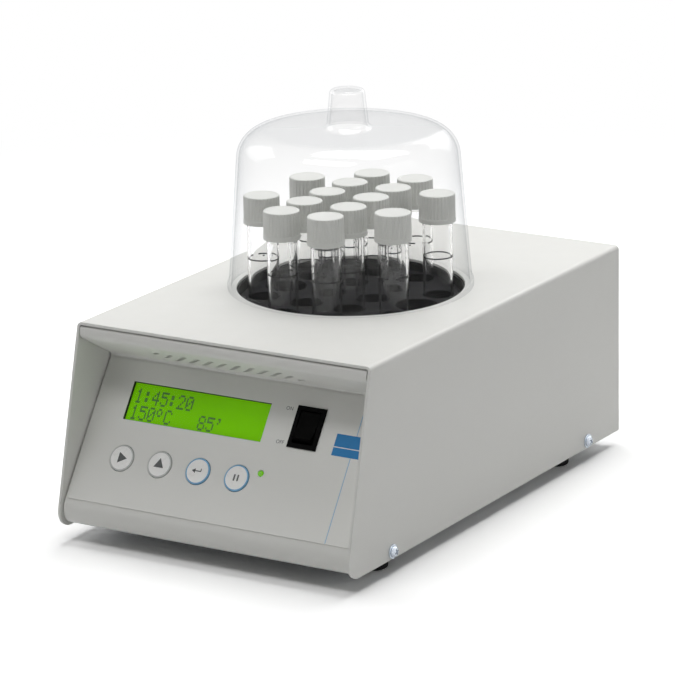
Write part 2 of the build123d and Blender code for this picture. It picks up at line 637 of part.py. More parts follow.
MODULE_FACE = SHEET + FIT_GAP
with BuildPart(PANEL.offset(-MODULE_FACE)) as display_module:
    with Locations((DISPLAY_X, DISPLAY_UP)):
        Box(MODULE_FRAME_WIDTH, MODULE_FRAME_HEIGHT, MODULE_FRAME_DEPTH, align=HANGING)
    with Locations((DISPLAY_X, DISPLAY_UP, -MODULE_FRAME_DEPTH)):
        Box(MODULE_BOARD_WIDTH, MODULE_BOARD_HEIGHT, BOARD_THICKNESS, align=HANGING)
        with GridLocations(
            MODULE_BOARD_WIDTH - 2 * STANDOFF_RADIUS, MODULE_BOARD_HEIGHT - 2 * STANDOFF_RADIUS,
            2, 2,
        ):
            Cylinder(SCREW_RADIUS, 3 * BOARD_THICKNESS, mode=Mode.SUBTRACT)
save(display_module, "display_module")

# --- Control board: push contacts behind the keys, a ribbon header and chips -----------------
KEY_FOOT_DEPTH = KEY_CAP_HEIGHT + KEY_STEM_LENGTH - KEY_PROUD - OVERLAY_THICKNESS
CONTACT_HEIGHT = BOARD_DEPTH - KEY_FOOT_DEPTH - KEY_TRAVEL - FIT_GAP
BOARD_X = PANEL_LEFT + BOARD_INSET + BOARD_WIDTH / 2
BOARD_UP = -(BOARD_TOP + BOARD_BOTTOM) / 2
BOARD_HEIGHT = BOARD_BOTTOM - BOARD_TOP
with BuildPart(PANEL.offset(-BOARD_DEPTH)) as control_board:
    with Locations((BOARD_X, BOARD_UP)):
        Box(BOARD_WIDTH, BOARD_HEIGHT, BOARD_THICKNESS, align=HANGING)
    with Locations(KEY_PLACES):
        Box(CONTACT_SIZE, CONTACT_SIZE, CONTACT_HEIGHT - CONTACT_BUTTON_HEIGHT, align=UPRIGHT)
        Cylinder(CONTACT_BUTTON_RADIUS, CONTACT_HEIGHT, align=UPRIGHT)
    with Locations((BOARD_X, BOARD_UP, -BOARD_THICKNESS)):
        Box(CHIP_WIDTH, CHIP_DEPTH, CHIP_HEIGHT, align=HANGING)
        with Locations((BOARD_WIDTH / 4, -BOARD_HEIGHT / 4)):
            Box(HEADER_WIDTH, HEADER_DEPTH, HEADER_HEIGHT, align=HANGING)
        with Locations((-BOARD_WIDTH / 4, -BOARD_HEIGHT / 4)):
            Cylinder(BUZZER_RADIUS, BUZZER_HEIGHT, align=HANGING)
save(control_board, "control_board")

# --- Board standoffs: panel to control board, display to control board, floor to power board --
with BuildPart() as board_standoffs:
    with BuildSketch(PANEL.offset(-SHEET)):
        with Locations((BOARD_X, BOARD_UP)):
            with GridLocations(
                BOARD_WIDTH - 2 * STANDOFF_RADIUS, BOARD_HEIGHT - 2 * STANDOFF_RADIUS, 2, 2
            ):
                Circle(STANDOFF_RADIUS)
    extrude(amount=-(BOARD_DEPTH - SHEET))
    with BuildSketch(PANEL.offset(-BOARD_DEPTH)):
        with Locations((DISPLAY_X, DISPLAY_UP)):
            with GridLocations(
                MODULE_FRAME_WIDTH - 2 * STANDOFF_INSET, MODULE_BOARD_HEIGHT - STANDOFF_RADIUS * 3,
                2, 2,
            ):
                Circle(STANDOFF_RADIUS)
    extrude(amount=BOARD_DEPTH - MODULE_FACE - MODULE_FRAME_DEPTH - BOARD_THICKNESS)
    with BuildSketch(Plane.XY.offset(FLOOR_Z)):
        with Locations((POWER_BOARD_X, POWER_BOARD_Y)):
            with GridLocations(
                POWER_BOARD_WIDTH - 2 * STANDOFF_INSET, POWER_BOARD_DEPTH - 2 * STANDOFF_INSET,
                2, 2,
            ):
                Circle(STANDOFF_RADIUS)
    extrude(amount=POWER_BOARD_RISE)
save(board_standoffs, "board_standoffs")

# --- Keys: domed discs flush in the overlay, each with a stem to its push contact -------------
for key_name, key_place in zip(KEY_NAMES, KEY_PLACES):
    with BuildPart(PANEL.offset(OVERLAY_THICKNESS + KEY_PROUD)) as key:
        with Locations(key_place):
            Cylinder(KEY_RADIUS, KEY_CAP_HEIGHT, align=HANGING)
        fillet(key.faces().sort_by(OUTWARDS)[-1].edges(), KEY_EDGE_RADIUS)
        with Locations(key_place):
            Cylinder(KEY_STEM_RADIUS, KEY_CAP_HEIGHT + KEY_STEM_LENGTH, align=HANGING)
    save(key, key_name)

# --- Status lamp: a round lens through the overlay, its flange and legs on the board ----------
with BuildPart(PANEL.offset(-BOARD_DEPTH)) as status_led:
    with Locations((LED_X, -LED_DOWN)):
        Cylinder(LED_RADIUS, BOARD_DEPTH + OVERLAY_THICKNESS + LED_PROUD, align=UPRIGHT)
        Cylinder(LED_RADIUS + KEY_GAP, BOARD_DEPTH - 2 * SHEET, align=UPRIGHT)
    fillet(status_led.faces().sort_by(OUTWARDS)[-1].edges(), LED_EDGE_RADIUS)
save(status_led, "status_led")

# --- Power switch: bezel and body with a deep well, and the rocker on its pin -----------------
ROCKER_LENGTH = SWITCH_BODY_HEIGHT - 2 * SWITCH_WALL
ROCKER_REACH = ROCKER_LENGTH / 2 - ROCKER_GAP - ROCKER_END_INSET
PIVOT_Z = SWITCH_FACE - ROCKER_END_HEIGHT + ROCKER_LENGTH / 2 * sin(radians(ROCKER_TILT)) - ROCKER_SINK
with BuildPart(PANEL.offset(OVERLAY_THICKNESS)) as switch_housing:
    with Locations((SWITCH_X, SWITCH_UP)):
        Box(SWITCH_WIDTH, SWITCH_HEIGHT, SWITCH_RIM, align=UPRIGHT)
        Box(SWITCH_BODY_WIDTH, SWITCH_BODY_HEIGHT, SWITCH_BODY_DEPTH, align=HANGING)
    fillet(switch_housing.edges().group_by(OUTWARDS)[-1], SWITCH_EDGE_RADIUS)
    with Locations((SWITCH_X, SWITCH_UP, SWITCH_RIM)):
        Box(WELL_WIDTH, ROCKER_LENGTH, SWITCH_WELL_DEPTH, align=HANGING, mode=Mode.SUBTRACT)
    with Locations((SWITCH_X, SWITCH_UP, PIVOT_Z - OVERLAY_THICKNESS)):
        Cylinder(
            ROCKER_PIN_RADIUS + ROCKER_PIN_GAP,
            WELL_WIDTH + 2 * ROCKER_PIN_END,
            rotation=(0, 90, 0),
            mode=Mode.SUBTRACT,
        )
    with Locations((SWITCH_X, SWITCH_UP, -SWITCH_BODY_DEPTH)):
        with GridLocations(0, BLADE_PITCH, 1, 3):
            Box(BLADE_WIDTH, BLADE_THICKNESS, BLADE_LENGTH, align=HANGING)
save(switch_housing, "switch_housing")

ROCKER_SLOPE = SLOPE - radians(ROCKER_TILT)  # upper end pressed in
ROCKER_PLANE = Plane(
    origin=PANEL.from_local_coords((SWITCH_X, SWITCH_UP, PIVOT_Z)),
    x_dir=(0, cos(ROCKER_SLOPE), sin(ROCKER_SLOPE)),
    z_dir=(1, 0, 0),
)
with BuildPart() as rocker:
    with BuildSketch(ROCKER_PLANE) as rocker_outline:
        with BuildLine():
            crown = ThreePointArc(
                (ROCKER_REACH, ROCKER_END_HEIGHT),
                (0, ROCKER_END_HEIGHT - ROCKER_DIP),
                (-ROCKER_REACH, ROCKER_END_HEIGHT),
            )
            Polyline(
                crown @ 1,
                (-ROCKER_REACH, -ROCKER_PIN_RADIUS),
                (-ROCKER_PIN_RADIUS, -2 * ROCKER_PIN_RADIUS),
                (ROCKER_PIN_RADIUS, -2 * ROCKER_PIN_RADIUS),
                (ROCKER_REACH, -ROCKER_PIN_RADIUS),
                crown @ 0,
            )
        make_face()
    extrude(amount=WELL_WIDTH / 2 - ROCKER_GAP, both=True)
    with BuildSketch(ROCKER_PLANE):
        Circle(ROCKER_PIN_RADIUS)
    extrude(amount=WELL_WIDTH / 2 + ROCKER_PIN_END - FIT_GAP, both=True)
save(rocker, "rocker")

# --- Heating block: aluminium cylinder with round-ended wells and two wider flat ones --------
with BuildPart() as heating_block:
    with Locations((0, BLOCK_Y, BLOCK_Z)):
        Cylinder(BLOCK_RADIUS, BLOCK_HEIGHT, align=UPRIGHT)
    chamfer(heating_block.edges().group_by(Axis.Z)[-1], BLOCK_CHAMFER)
    with Locations([(x, y, WELL_FLOOR_Z + WELL_RADIUS) for x, y in VIAL_PLACES]):
        Cylinder(WELL_RADIUS, BLOCK_HEIGHT, align=UPRIGHT, mode=Mode.SUBTRACT)
        Sphere(WELL_RADIUS, mode=Mode.SUBTRACT)
    with Locations([(x, y, BLOCK_TOP_Z) for x, y in FREE_WELL_PLACES]):
        Hole(FREE_WELL_RADIUS, depth=FREE_WELL_DEPTH)
    with Locations((0, BLOCK_Y + BLOCK_RADIUS, PROBE_Z)):
        Cylinder(
            PROBE_RADIUS + FIT_GAP / 2,
            PROBE_DEPTH + FIT_GAP,
            rotation=(90, 0, 0),
            align=UPRIGHT,
            mode=Mode.SUBTRACT,
        )
save(heating_block, "heating_block")

# --- Block collar: dark ring that closes the slot between block and cover --------------------
with BuildPart() as block_collar:
    with BuildSketch(Plane.XY.offset(JACKET_TOP_Z)):
        with Locations((0, BLOCK_Y)):
            Circle(COLLAR_RADIUS)
            Circle(COLLAR_BORE_RADIUS, mode=Mode.SUBTRACT)
    extrude(amount=COLLAR_HEIGHT)
save(block_collar, "block_collar")

# --- Insulation jacket: cup of mineral wool round the block, standing on the posts -----------
with BuildPart() as insulation_jacket:
    with Locations((0, BLOCK_Y, JACKET_Z)):
        Cylinder(COLLAR_RADIUS, JACKET_TOP_Z - JACKET_Z, align=UPRIGHT)
        with PolarLocations(POST_CIRCLE_RADIUS, POST_COUNT, start_angle=POST_TURN):
            Cylinder(
                POST_NECK_RADIUS + FIT_GAP, JACKET_FLOOR, align=UPRIGHT, mode=Mode.SUBTRACT
            )
        with Locations((0, CUTOUT_Y)):
            Cylinder(CUTOUT_RADIUS + CUTOUT_GAP, JACKET_FLOOR, align=UPRIGHT, mode=Mode.SUBTRACT)
        with Locations((0, TERMINAL_Y)):
            with GridLocations(TERMINAL_SPAN, 0, 2, 1):
                Cylinder(2 * TERMINAL_RADIUS, JACKET_FLOOR, align=UPRIGHT, mode=Mode.SUBTRACT)
    with Locations((0, BLOCK_Y, JACKET_Z + JACKET_FLOOR)):
        Cylinder(JACKET_BORE_RADIUS, BLOCK_TOP_Z, align=UPRIGHT, mode=Mode.SUBTRACT)
    with Locations((0, BLOCK_Y, PROBE_Z)):
        Cylinder(
            PROBE_RADIUS + FIT_GAP,
            2 * COLLAR_RADIUS,
            rotation=(-90, 0, 0),
            align=UPRIGHT,
            mode=Mode.SUBTRACT,
        )
save(insulation_jacket, "insulation_jacket")

# --- Heater plate under the block, with two terminals ----------------------------------------
with BuildPart() as heater_plate:
    with Locations((0, BLOCK_Y, BLOCK_Z)):
        Cylinder(HEATER_RADIUS, HEATER_THICKNESS, align=HANGING)
    with Locations((0, BLOCK_Y + TERMINAL_Y, HEATER_Z)):
        with GridLocations(TERMINAL_SPAN, 0, 2, 1):
            Cylinder(TERMINAL_RADIUS, TERMINAL_LENGTH, align=HANGING)
save(heater_plate, "heater_plate")

# --- Stepped posts: the shoulders carry the jacket, the necks carry heater and block ----------
with BuildPart() as block_posts:
    with Locations((0, BLOCK_Y, FLOOR_Z)):
        with PolarLocations(POST_CIRCLE_RADIUS, POST_COUNT, start_angle=POST_TURN):
            Cylinder(POST_RADIUS, JACKET_Z - FLOOR_Z, align=UPRIGHT)
            Cylinder(POST_NECK_RADIUS, HEATER_Z - FLOOR_Z, align=UPRIGHT)
save(block_posts, "block_posts")

# --- Thermal cut-out: disc thermostat against the heater, with two blades ---------------------
with BuildPart() as thermal_cutout:
    with Locations((0, BLOCK_Y + CUTOUT_Y, HEATER_Z)):
        Cylinder(CUTOUT_RADIUS, CUTOUT_HEIGHT, align=HANGING)
    with Locations((0, BLOCK_Y + CUTOUT_Y, HEATER_Z - CUTOUT_HEIGHT)):
        with GridLocations(CUTOUT_RADIUS, 0, 2, 1):
            Box(BLADE_THICKNESS, BLADE_WIDTH, BLADE_LENGTH, align=HANGING)
save(thermal_cutout, "thermal_cutout")

# --- Temperature probe: thin tube into the block's side, with a ferrule outside the jacket ----
with BuildPart() as temperature_probe:
    with Locations((0, BLOCK_Y + BLOCK_RADIUS - PROBE_DEPTH, PROBE_Z)):
        Cylinder(
            PROBE_RADIUS,
            PROBE_DEPTH + COLLAR_RADIUS - BLOCK_RADIUS + PROBE_FERRULE_LENGTH,
            rotation=(-90, 0, 0),
            align=UPRIGHT,
        )
    with Locations((0, BLOCK_Y + COLLAR_RADIUS, PROBE_Z)):
        Cylinder(
            PROBE_FERRULE_RADIUS, PROBE_FERRULE_LENGTH, rotation=(-90, 0, 0), align=UPRIGHT
        )
save(temperature_probe, "temperature_probe")

# --- Vials: round-bottomed glass tubes with a narrower neck under the cap ---------------------
with BuildPart() as vial_form:
    with BuildSketch(Plane.XZ) as vial_section:
        with BuildLine():
            bowl = RadiusArc((0, 0), (VIAL_RADIUS, VIAL_RADIUS), -VIAL_RADIUS)
            Polyline(
                bowl @ 1,
                (VIAL_RADIUS, VIAL_LENGTH - VIAL_NECK_LENGTH - VIAL_SHOULDER),
                (VIAL_NECK_RADIUS, VIAL_LENGTH - VIAL_NECK_LENGTH),
                (VIAL_NECK_RADIUS, VIAL_LENGTH),
                (VIAL_NECK_RADIUS - VIAL_WALL, VIAL_LENGTH),
                (VIAL_NECK_RADIUS - VIAL_WALL, VIAL_LENGTH - VIAL_NECK_LENGTH),
                (VIAL_RADIUS - VIAL_WALL, VIAL_LENGTH - VIAL_NECK_LENGTH - VIAL_SHOULDER),
                (VIAL_RADIUS - VIAL_WALL, VIAL_RADIUS),
            )
            RadiusArc(
                (VIAL_RADIUS - VIAL_WALL, VIAL_RADIUS), (0, VIAL_WALL), VIAL_RADIUS - VIAL_WALL
            )
            Line((0, VIAL_WALL), (0, 0))
        make_face()
    revolve(axis=Axis.Z)

# --- Caps: ribbed screw caps with a plain skirt and an open inside ----------------------------
rib_points = []
for i in range(2 * CAP_RIBS):
    rib_radius = CAP_TOP_RADIUS - (CAP_RIB_DEPTH if i % 2 else 0.0)
    rib_angle = pi * i / CAP_RIBS
    rib_points.append((rib_radius * cos(rib_angle), rib_radius * sin(rib_angle)))
with BuildPart() as cap_form:
    with BuildSketch():
        Circle(CAP_RADIUS)
    extrude(amount=CAP_SKIRT_HEIGHT)
    with BuildSketch(Plane.XY.offset(CAP_SKIRT_HEIGHT)):
        with BuildLine():
            Polyline(*rib_points, close=True)
        make_face()
    extrude(amount=CAP_HEIGHT - CAP_SKIRT_HEIGHT - CAP_RIM_CHAMFER)
    with Locations((0, 0, CAP_HEIGHT)):
        Cone(
            CAP_TOP_RADIUS - CAP_RIB_DEPTH,
            CAP_TOP_RADIUS - CAP_RIB_DEPTH - CAP_RIM_CHAMFER,
            CAP_RIM_CHAMFER,
            align=HANGING,
        )
    Cylinder(
        CAP_BORE_RADIUS, CAP_HEIGHT - CAP_TOP_WALL, align=UPRIGHT, mode=Mode.SUBTRACT
    )

for number, (x, y) in enumerate(VIAL_PLACES, start=1):
    with BuildPart() as vial:
        add(vial_form.part.moved(Location((x, y, VIAL_Z))))
    save(vial, f"vial_{number:02d}")
    with BuildPart() as cap:
        add(cap_form.part.moved(Location((x, y, CAP_TOP_Z - CAP_HEIGHT))))
    save(cap, f"cap_{number:02d}")

# --- Dome: clear shell with a beaded rim and a hollow knob ------------------------------------
DOME_PLANE = Plane(origin=(0, BLOCK_Y, TOP_Z + DOME_SEAT_GAP), x_dir=(1, 0, 0), z_dir=(0, -1, 0))
with BuildPart() as dome:
    with BuildSketch(DOME_PLANE) as dome_section:
        with BuildLine():
            skin = FilletPolyline(
                (DOME_RADIUS + DOME_TAPER * DOME_WALL, -DOME_WALL),
                (DOME_RADIUS - DOME_TAPER * DOME_TOP, DOME_TOP),
                (KNOB_BASE_RADIUS, DOME_TOP),
                (KNOB_TOP_RADIUS, KNOB_TOP),
                (0, KNOB_TOP),
                radius=[DOME_SHOULDER_RADIUS, KNOB_FLARE_RADIUS, KNOB_EDGE_RADIUS],
            )
            offset(skin, amount=DOME_WALL, side=Side.LEFT)
        make_face()
        Rectangle(
            DOME_RIM_RADIUS, 2 * DOME_WALL, align=(Align.MIN, Align.MAX), mode=Mode.SUBTRACT
        )
        with Locations((DOME_RIM_RADIUS, 0)):
            Rectangle(DOME_WALL, DOME_RIM_HEIGHT, align=(Align.MAX, Align.MIN))
        fillet(dome_section.vertices().sort_by(Axis.X)[-2:].sort_by(Axis.Y)[-1], DOME_BEAD_RADIUS)
    revolve(axis=Axis((0, BLOCK_Y, 0), (0, 0, 1)))
save(dome, "dome")

# --- Transformer: laminated core with feet, and the coil on its middle limb -------------------
with BuildPart() as transformer:
    with Locations((CORE_X, CORE_Y, FLOOR_Z)):
        Box(CORE_WIDTH, CORE_DEPTH, CORE_HEIGHT, align=UPRIGHT)
        Box(CORE_WIDTH + 2 * CORE_FOOT, CORE_DEPTH, PAN_SHEET, align=UPRIGHT)
    with BuildSketch(Plane.XY.offset(FLOOR_Z + (CORE_HEIGHT - COIL_HEIGHT) / 2)):
        with Locations((CORE_X, CORE_Y)):
            RectangleRounded(COIL_WIDTH, COIL_DEPTH, COIL_CORNER_RADIUS)
    extrude(amount=COIL_HEIGHT)
save(transformer, "transformer")

# --- Power board: relay, capacitor, terminal block and a finned heat sink ----------------------
with BuildPart() as power_board:
    with Locations((POWER_BOARD_X, POWER_BOARD_Y, FLOOR_Z + POWER_BOARD_RISE)):
        Box(POWER_BOARD_WIDTH, POWER_BOARD_DEPTH, BOARD_THICKNESS, align=UPRIGHT)
    with Locations(
        (POWER_BOARD_X, POWER_BOARD_Y, FLOOR_Z + POWER_BOARD_RISE + BOARD_THICKNESS)
    ):
        with Locations((-POWER_BOARD_WIDTH / 3, -POWER_BOARD_DEPTH / 6)):
            Box(RELAY_WIDTH, RELAY_DEPTH, RELAY_HEIGHT, align=UPRIGHT)
        with Locations((0, POWER_BOARD_DEPTH / 4)):
            Cylinder(CAPACITOR_RADIUS, CAPACITOR_HEIGHT, align=UPRIGHT)
        with Locations((-POWER_BOARD_WIDTH / 3, POWER_BOARD_DEPTH / 3.3)):
            Box(CLAMP_WIDTH, CLAMP_DEPTH, CLAMP_HEIGHT, align=UPRIGHT)
        with Locations((POWER_BOARD_WIDTH / 3, 0)):
            Box(SINK_WEB, SINK_DEPTH, SINK_HEIGHT, align=UPRIGHT)
            with GridLocations(0, SINK_FIN_PITCH, 1, SINK_FINS):
                Box(SINK_FIN_WIDTH, SINK_FIN_THICKNESS, SINK_HEIGHT, align=UPRIGHT)
save(power_board, "power_board")

# --- Power inlet: flanged body with a socket, three blades and a slot for the fuse drawer ------
with BuildPart() as power_inlet:
    with BuildSketch(Plane.XZ.offset(-REAR_PANEL_Y - SHEET)):
        with Locations((INLET_X, INLET_Z)):
            RectangleRounded(INLET_FLANGE_WIDTH, INLET_FLANGE_HEIGHT, INLET_CORNER_RADIUS)
    extrude(amount=-INLET_FLANGE_THICKNESS)
    with BuildSketch(Plane.XZ.offset(-REAR_PANEL_Y - SHEET)):
        with Locations((INLET_X, INLET_Z)):
            Rectangle(INLET_BODY_WIDTH, INLET_BODY_HEIGHT)
    extrude(amount=INLET_BODY_DEPTH)
    with BuildSketch(Plane.XZ.offset(-INLET_FACE_Y)) as socket_mouth:
        with Locations((INLET_X, SOCKET_Z)):
            Rectangle(SOCKET_WIDTH, SOCKET_HEIGHT)
        chamfer(socket_mouth.vertices().group_by(Axis.Y)[-1], SOCKET_CHAMFER)
    extrude(amount=SOCKET_DEPTH, mode=Mode.SUBTRACT)
    with BuildSketch(Plane.XZ.offset(-INLET_FACE_Y)):
        with Locations((INLET_X, DRAWER_Z)):
            Rectangle(DRAWER_WIDTH + 2 * DRAWER_GAP, DRAWER_HEIGHT + 2 * DRAWER_GAP)
    extrude(amount=DRAWER_DEPTH + DRAWER_GAP, mode=Mode.SUBTRACT)
    with BuildSketch(Plane.XZ.offset(-INLET_FACE_Y + SOCKET_DEPTH)):
        with Locations((INLET_X, SOCKET_Z - PIN_WIDTH)):
            with GridLocations(PIN_SPAN, 0, 2, 1):
                Rectangle(PIN_WIDTH, PIN_HEIGHT)
        with Locations((INLET_X, SOCKET_Z + PIN_WIDTH)):
            Rectangle(PIN_WIDTH, PIN_HEIGHT)
    extrude(amount=-PIN_LENGTH)
save(power_inlet, "power_inlet")

# --- Fuse drawer: slides out of the inlet, with a pull groove in its face -----------------------
with BuildPart() as fuse_drawer:
    with BuildSketch(Plane.XZ.offset(-INLET_FACE_Y - DRAWER_FACE)):
        with Locations((INLET_X, DRAWER_Z)):
            Rectangle(DRAWER_WIDTH, DRAWER_HEIGHT)
    extrude(amount=DRAWER_DEPTH + DRAWER_FACE)
    with BuildSketch(Plane.XZ.offset(-INLET_FACE_Y - DRAWER_FACE)):
        with Locations((INLET_X, DRAWER_Z + DRAWER_HEIGHT / 2)):
            Rectangle(DRAWER_GROOVE_WIDTH, DRAWER_GROOVE_HEIGHT, align=(Align.CENTER, Align.MAX))
    extrude(amount=DRAWER_GROOVE_DEPTH, mode=Mode.SUBTRACT)
save(fuse_drawer, "fuse_drawer")
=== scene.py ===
"""Looks of the chemical oxygen demand reactor, laid over the frame that the CAD source gives.

Every length is in metres and every place in the CAD's own frame: +Z is up and the control
panel faces -Y.  Each sub-assembly is a class that builds its own meshes and dresses them.
"""

import json
import logging
from collections.abc import Callable, Iterator, Sequence
from contextlib import contextmanager
from dataclasses import dataclass, field
from enum import Enum
from functools import lru_cache
from math import atan2, cos, pi, radians, sin, tan

import bmesh
import bpy
from bpy.types import Material, Node, NodeSocket, NodeTree, Object
from mathutils import Matrix, Vector

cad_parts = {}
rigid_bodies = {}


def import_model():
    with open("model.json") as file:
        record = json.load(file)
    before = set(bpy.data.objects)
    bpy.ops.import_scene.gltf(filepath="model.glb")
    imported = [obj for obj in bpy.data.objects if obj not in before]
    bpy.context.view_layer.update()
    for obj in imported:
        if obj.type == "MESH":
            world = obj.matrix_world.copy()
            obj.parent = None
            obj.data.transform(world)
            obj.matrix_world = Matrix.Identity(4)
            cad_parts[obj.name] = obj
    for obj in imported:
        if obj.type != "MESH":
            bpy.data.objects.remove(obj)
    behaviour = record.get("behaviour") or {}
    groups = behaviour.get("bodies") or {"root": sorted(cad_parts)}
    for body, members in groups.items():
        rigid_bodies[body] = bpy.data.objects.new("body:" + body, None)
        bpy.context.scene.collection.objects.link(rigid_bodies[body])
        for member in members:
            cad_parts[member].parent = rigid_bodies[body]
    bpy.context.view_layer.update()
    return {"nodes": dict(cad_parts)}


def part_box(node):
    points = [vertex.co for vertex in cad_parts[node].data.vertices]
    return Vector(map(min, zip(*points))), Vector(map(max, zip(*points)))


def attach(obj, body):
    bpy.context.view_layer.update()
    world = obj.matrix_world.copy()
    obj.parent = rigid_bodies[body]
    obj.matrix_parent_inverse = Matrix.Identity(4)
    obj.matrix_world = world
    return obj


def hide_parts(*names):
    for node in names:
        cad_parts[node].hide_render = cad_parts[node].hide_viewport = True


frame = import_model()
LOG = logging.getLogger("reactor")
MM = 0.001


# --- Small tools for modelling ---------------------------------------------------------------


def alone(piece: Object) -> Object:
    """Selects one piece, and nothing else, and makes it the active one.

    Args:
        piece: The object to select.

    Returns:
        The same object.
    """
    bpy.ops.object.select_all(action="DESELECT")
    piece.select_set(True)
    bpy.context.view_layer.objects.active = piece
    return piece


def primitive(add: Callable, name: str, **size: object) -> Object:
    """Adds one of Blender's primitives, alone in the selection.

    Args:
        add: The operator that adds it.
        name: The new object's name.
        size: The operator's own settings.

    Returns:
        The new object.
    """
    bpy.ops.object.select_all(action="DESELECT")
    add(**size)
    piece = bpy.context.object
    piece.name = name
    piece.data.name = name
    return piece


@contextmanager
def editing(piece: Object) -> Iterator[None]:
    """Keeps a piece in edit mode, all of it selected at the start.

    Args:
        piece: The object to edit.

    Yields:
        Nothing; the piece is back in object mode afterwards.
    """
    alone(piece)
    bpy.ops.object.mode_set(mode="EDIT")
    bpy.ops.mesh.select_mode(type="VERT")
    bpy.ops.mesh.select_all(action="SELECT")
    yield
    bpy.ops.object.mode_set(mode="OBJECT")


def pick_points(piece: Object, wanted: Callable[[Vector], bool]) -> None:
    """Selects vertices of a piece in edit mode by their place.

    Args:
        piece: The object being edited.
        wanted: Says for a place in the object's own space whether it is taken.
    """
    bpy.ops.mesh.select_mode(type="VERT")
    shape = bmesh.from_edit_mesh(piece.data)
    for point in shape.verts:
        point.select = wanted(point.co)
    shape.select_flush_mode()
    bmesh.update_edit_mesh(piece.data)


def pick_faces(piece: Object, wanted: Callable[[Vector, Vector], bool]) -> None:
    """Selects faces of a piece in edit mode by their middle and normal.

    Args:
        piece: The object being edited.
        wanted: Says for a face's middle and normal whether it is taken.
    """
    bpy.ops.mesh.select_mode(type="FACE")
    shape = bmesh.from_edit_mesh(piece.data)
    for side in shape.faces:
        side.select = wanted(side.calc_center_median(), side.normal)
    shape.select_flush_mode()
    bmesh.update_edit_mesh(piece.data)


def modified(piece: Object, kind: str, **settings: object) -> Object:
    """Adds a modifier to a piece and applies it.

    Args:
        piece: The object to change.
        kind: The modifier's type.
        settings: The modifier's settings.

    Returns:
        The same object.
    """
    alone(piece)
    modifier = piece.modifiers.new(kind.title(), kind)
    for setting, value in settings.items():
        setattr(modifier, setting, value)
    bpy.ops.object.modifier_apply(modifier=modifier.name)
    return piece


def eased(piece: Object, width: float, segments: int = 2, corner: float = 35.0) -> Object:
    """Rounds a piece's sharp edges a little.

    Args:
        piece: The object to change.
        width: How far each edge is cut back.
        segments: Facets across each rounded edge.
        corner: The least angle, in degrees, that counts as an edge.

    Returns:
        The same object.
    """
    return modified(
        piece,
        "BEVEL",
        width=width,
        segments=segments,
        limit_method="ANGLE",
        angle_limit=radians(corner),
    )


def placed(piece: Object, place: Matrix) -> Object:
    """Moves a piece's mesh, and leaves the object itself at the origin.

    Args:
        piece: The object to move.
        place: Where its present place goes to.

    Returns:
        The same object.
    """
    alone(piece)
    bpy.ops.object.transform_apply(location=True, rotation=True, scale=True)
    piece.data.transform(place)
    return piece


def twin(piece: Object, name: str, place: Matrix) -> Object:
    """Copies a finished piece with a mesh of its own.

    Args:
        piece: The object to copy.
        name: The copy's name.
        place: How the copy's mesh is moved.

    Returns:
        The copy.
    """
    copy = bpy.data.objects.new(name, piece.data.copy())
    bpy.context.scene.collection.objects.link(copy)
    copy.data.transform(place)
    return copy


def joined(pieces: Sequence[Object], name: str) -> Object:
    """Joins several pieces into one.

    Args:
        pieces: The objects to join.
        name: The joined object's name.

    Returns:
        The joined object.
    """
    alone(pieces[0])
    for piece in pieces[1:]:
        piece.select_set(True)
    bpy.ops.object.join()
    pieces[0].name = name
    pieces[0].data.name = name
    return pieces[0]


def rounded(
    corners: Sequence[tuple[float, float]], radii: Sequence[float], facets: int = 10
) -> list[Vector]:
    """Rounds the inner corners of an open outline with arcs.

    Args:
        corners: The outline's corners, in millimetres.
        radii: A radius for each corner between the first and the last; 0 stays sharp.
        facets: Facets along each arc.

    Returns:
        The outline's points, in metres.
    """
    points = [Vector(corner) for corner in corners]
    outline = [points[0]]
    for before, corner, after, radius in zip(points, points[1:], points[2:], radii):
        back, ahead = (before - corner).normalized(), (after - corner).normalized()
        opening = back.angle(ahead)
        if not radius:
            outline.append(corner)
            continue
        middle = corner + (back + ahead).normalized() * (radius / sin(opening / 2))
        first = corner + back * (radius / tan(opening / 2)) - middle
        last = corner + ahead * (radius / tan(opening / 2)) - middle
        turn = first.angle_signed(last)
        for step in range(facets + 1):
            outline.append(middle + Matrix.Rotation(-turn * step / facets, 2) @ first)
    outline.append(points[-1])
    return [point * MM for point in outline]


def turned(
    name: str, outline: Sequence[Vector], foot: Vector, steps: int, sweep: float = 2 * pi
) -> Object:
    """Turns an outline about an upright axis, as on a lathe.

    Args:
        name: The new piece's name.
        outline: Points of (radius, height) over the foot, in metres.
        foot: Where the axis starts.
        steps: Facets round the axis.
        sweep: How far round it goes, in radians.

    Returns:
        The new piece.
    """
    piece = primitive(
        bpy.ops.mesh.primitive_circle_add, name, vertices=3, radius=MM, location=foot
    )
    first, *others = [Vector((point[0], 0.0, point[1])) for point in outline]
    with editing(piece):
        bpy.ops.mesh.merge(type="CENTER")
        bpy.ops.transform.translate(value=first)
        here = first
        for point in others:
            bpy.ops.mesh.extrude_region_move(TRANSFORM_OT_translate={"value": point - here})
            here = point
        bpy.ops.mesh.select_all(action="SELECT")
        bpy.ops.mesh.spin(steps=steps, angle=sweep, center=foot, axis=(0, 0, 1))
        bpy.ops.mesh.select_all(action="SELECT")
        bpy.ops.mesh.remove_doubles(threshold=1e-6)
        bpy.ops.mesh.normals_make_consistent(inside=False)
    return placed(piece, Matrix.Identity(4))


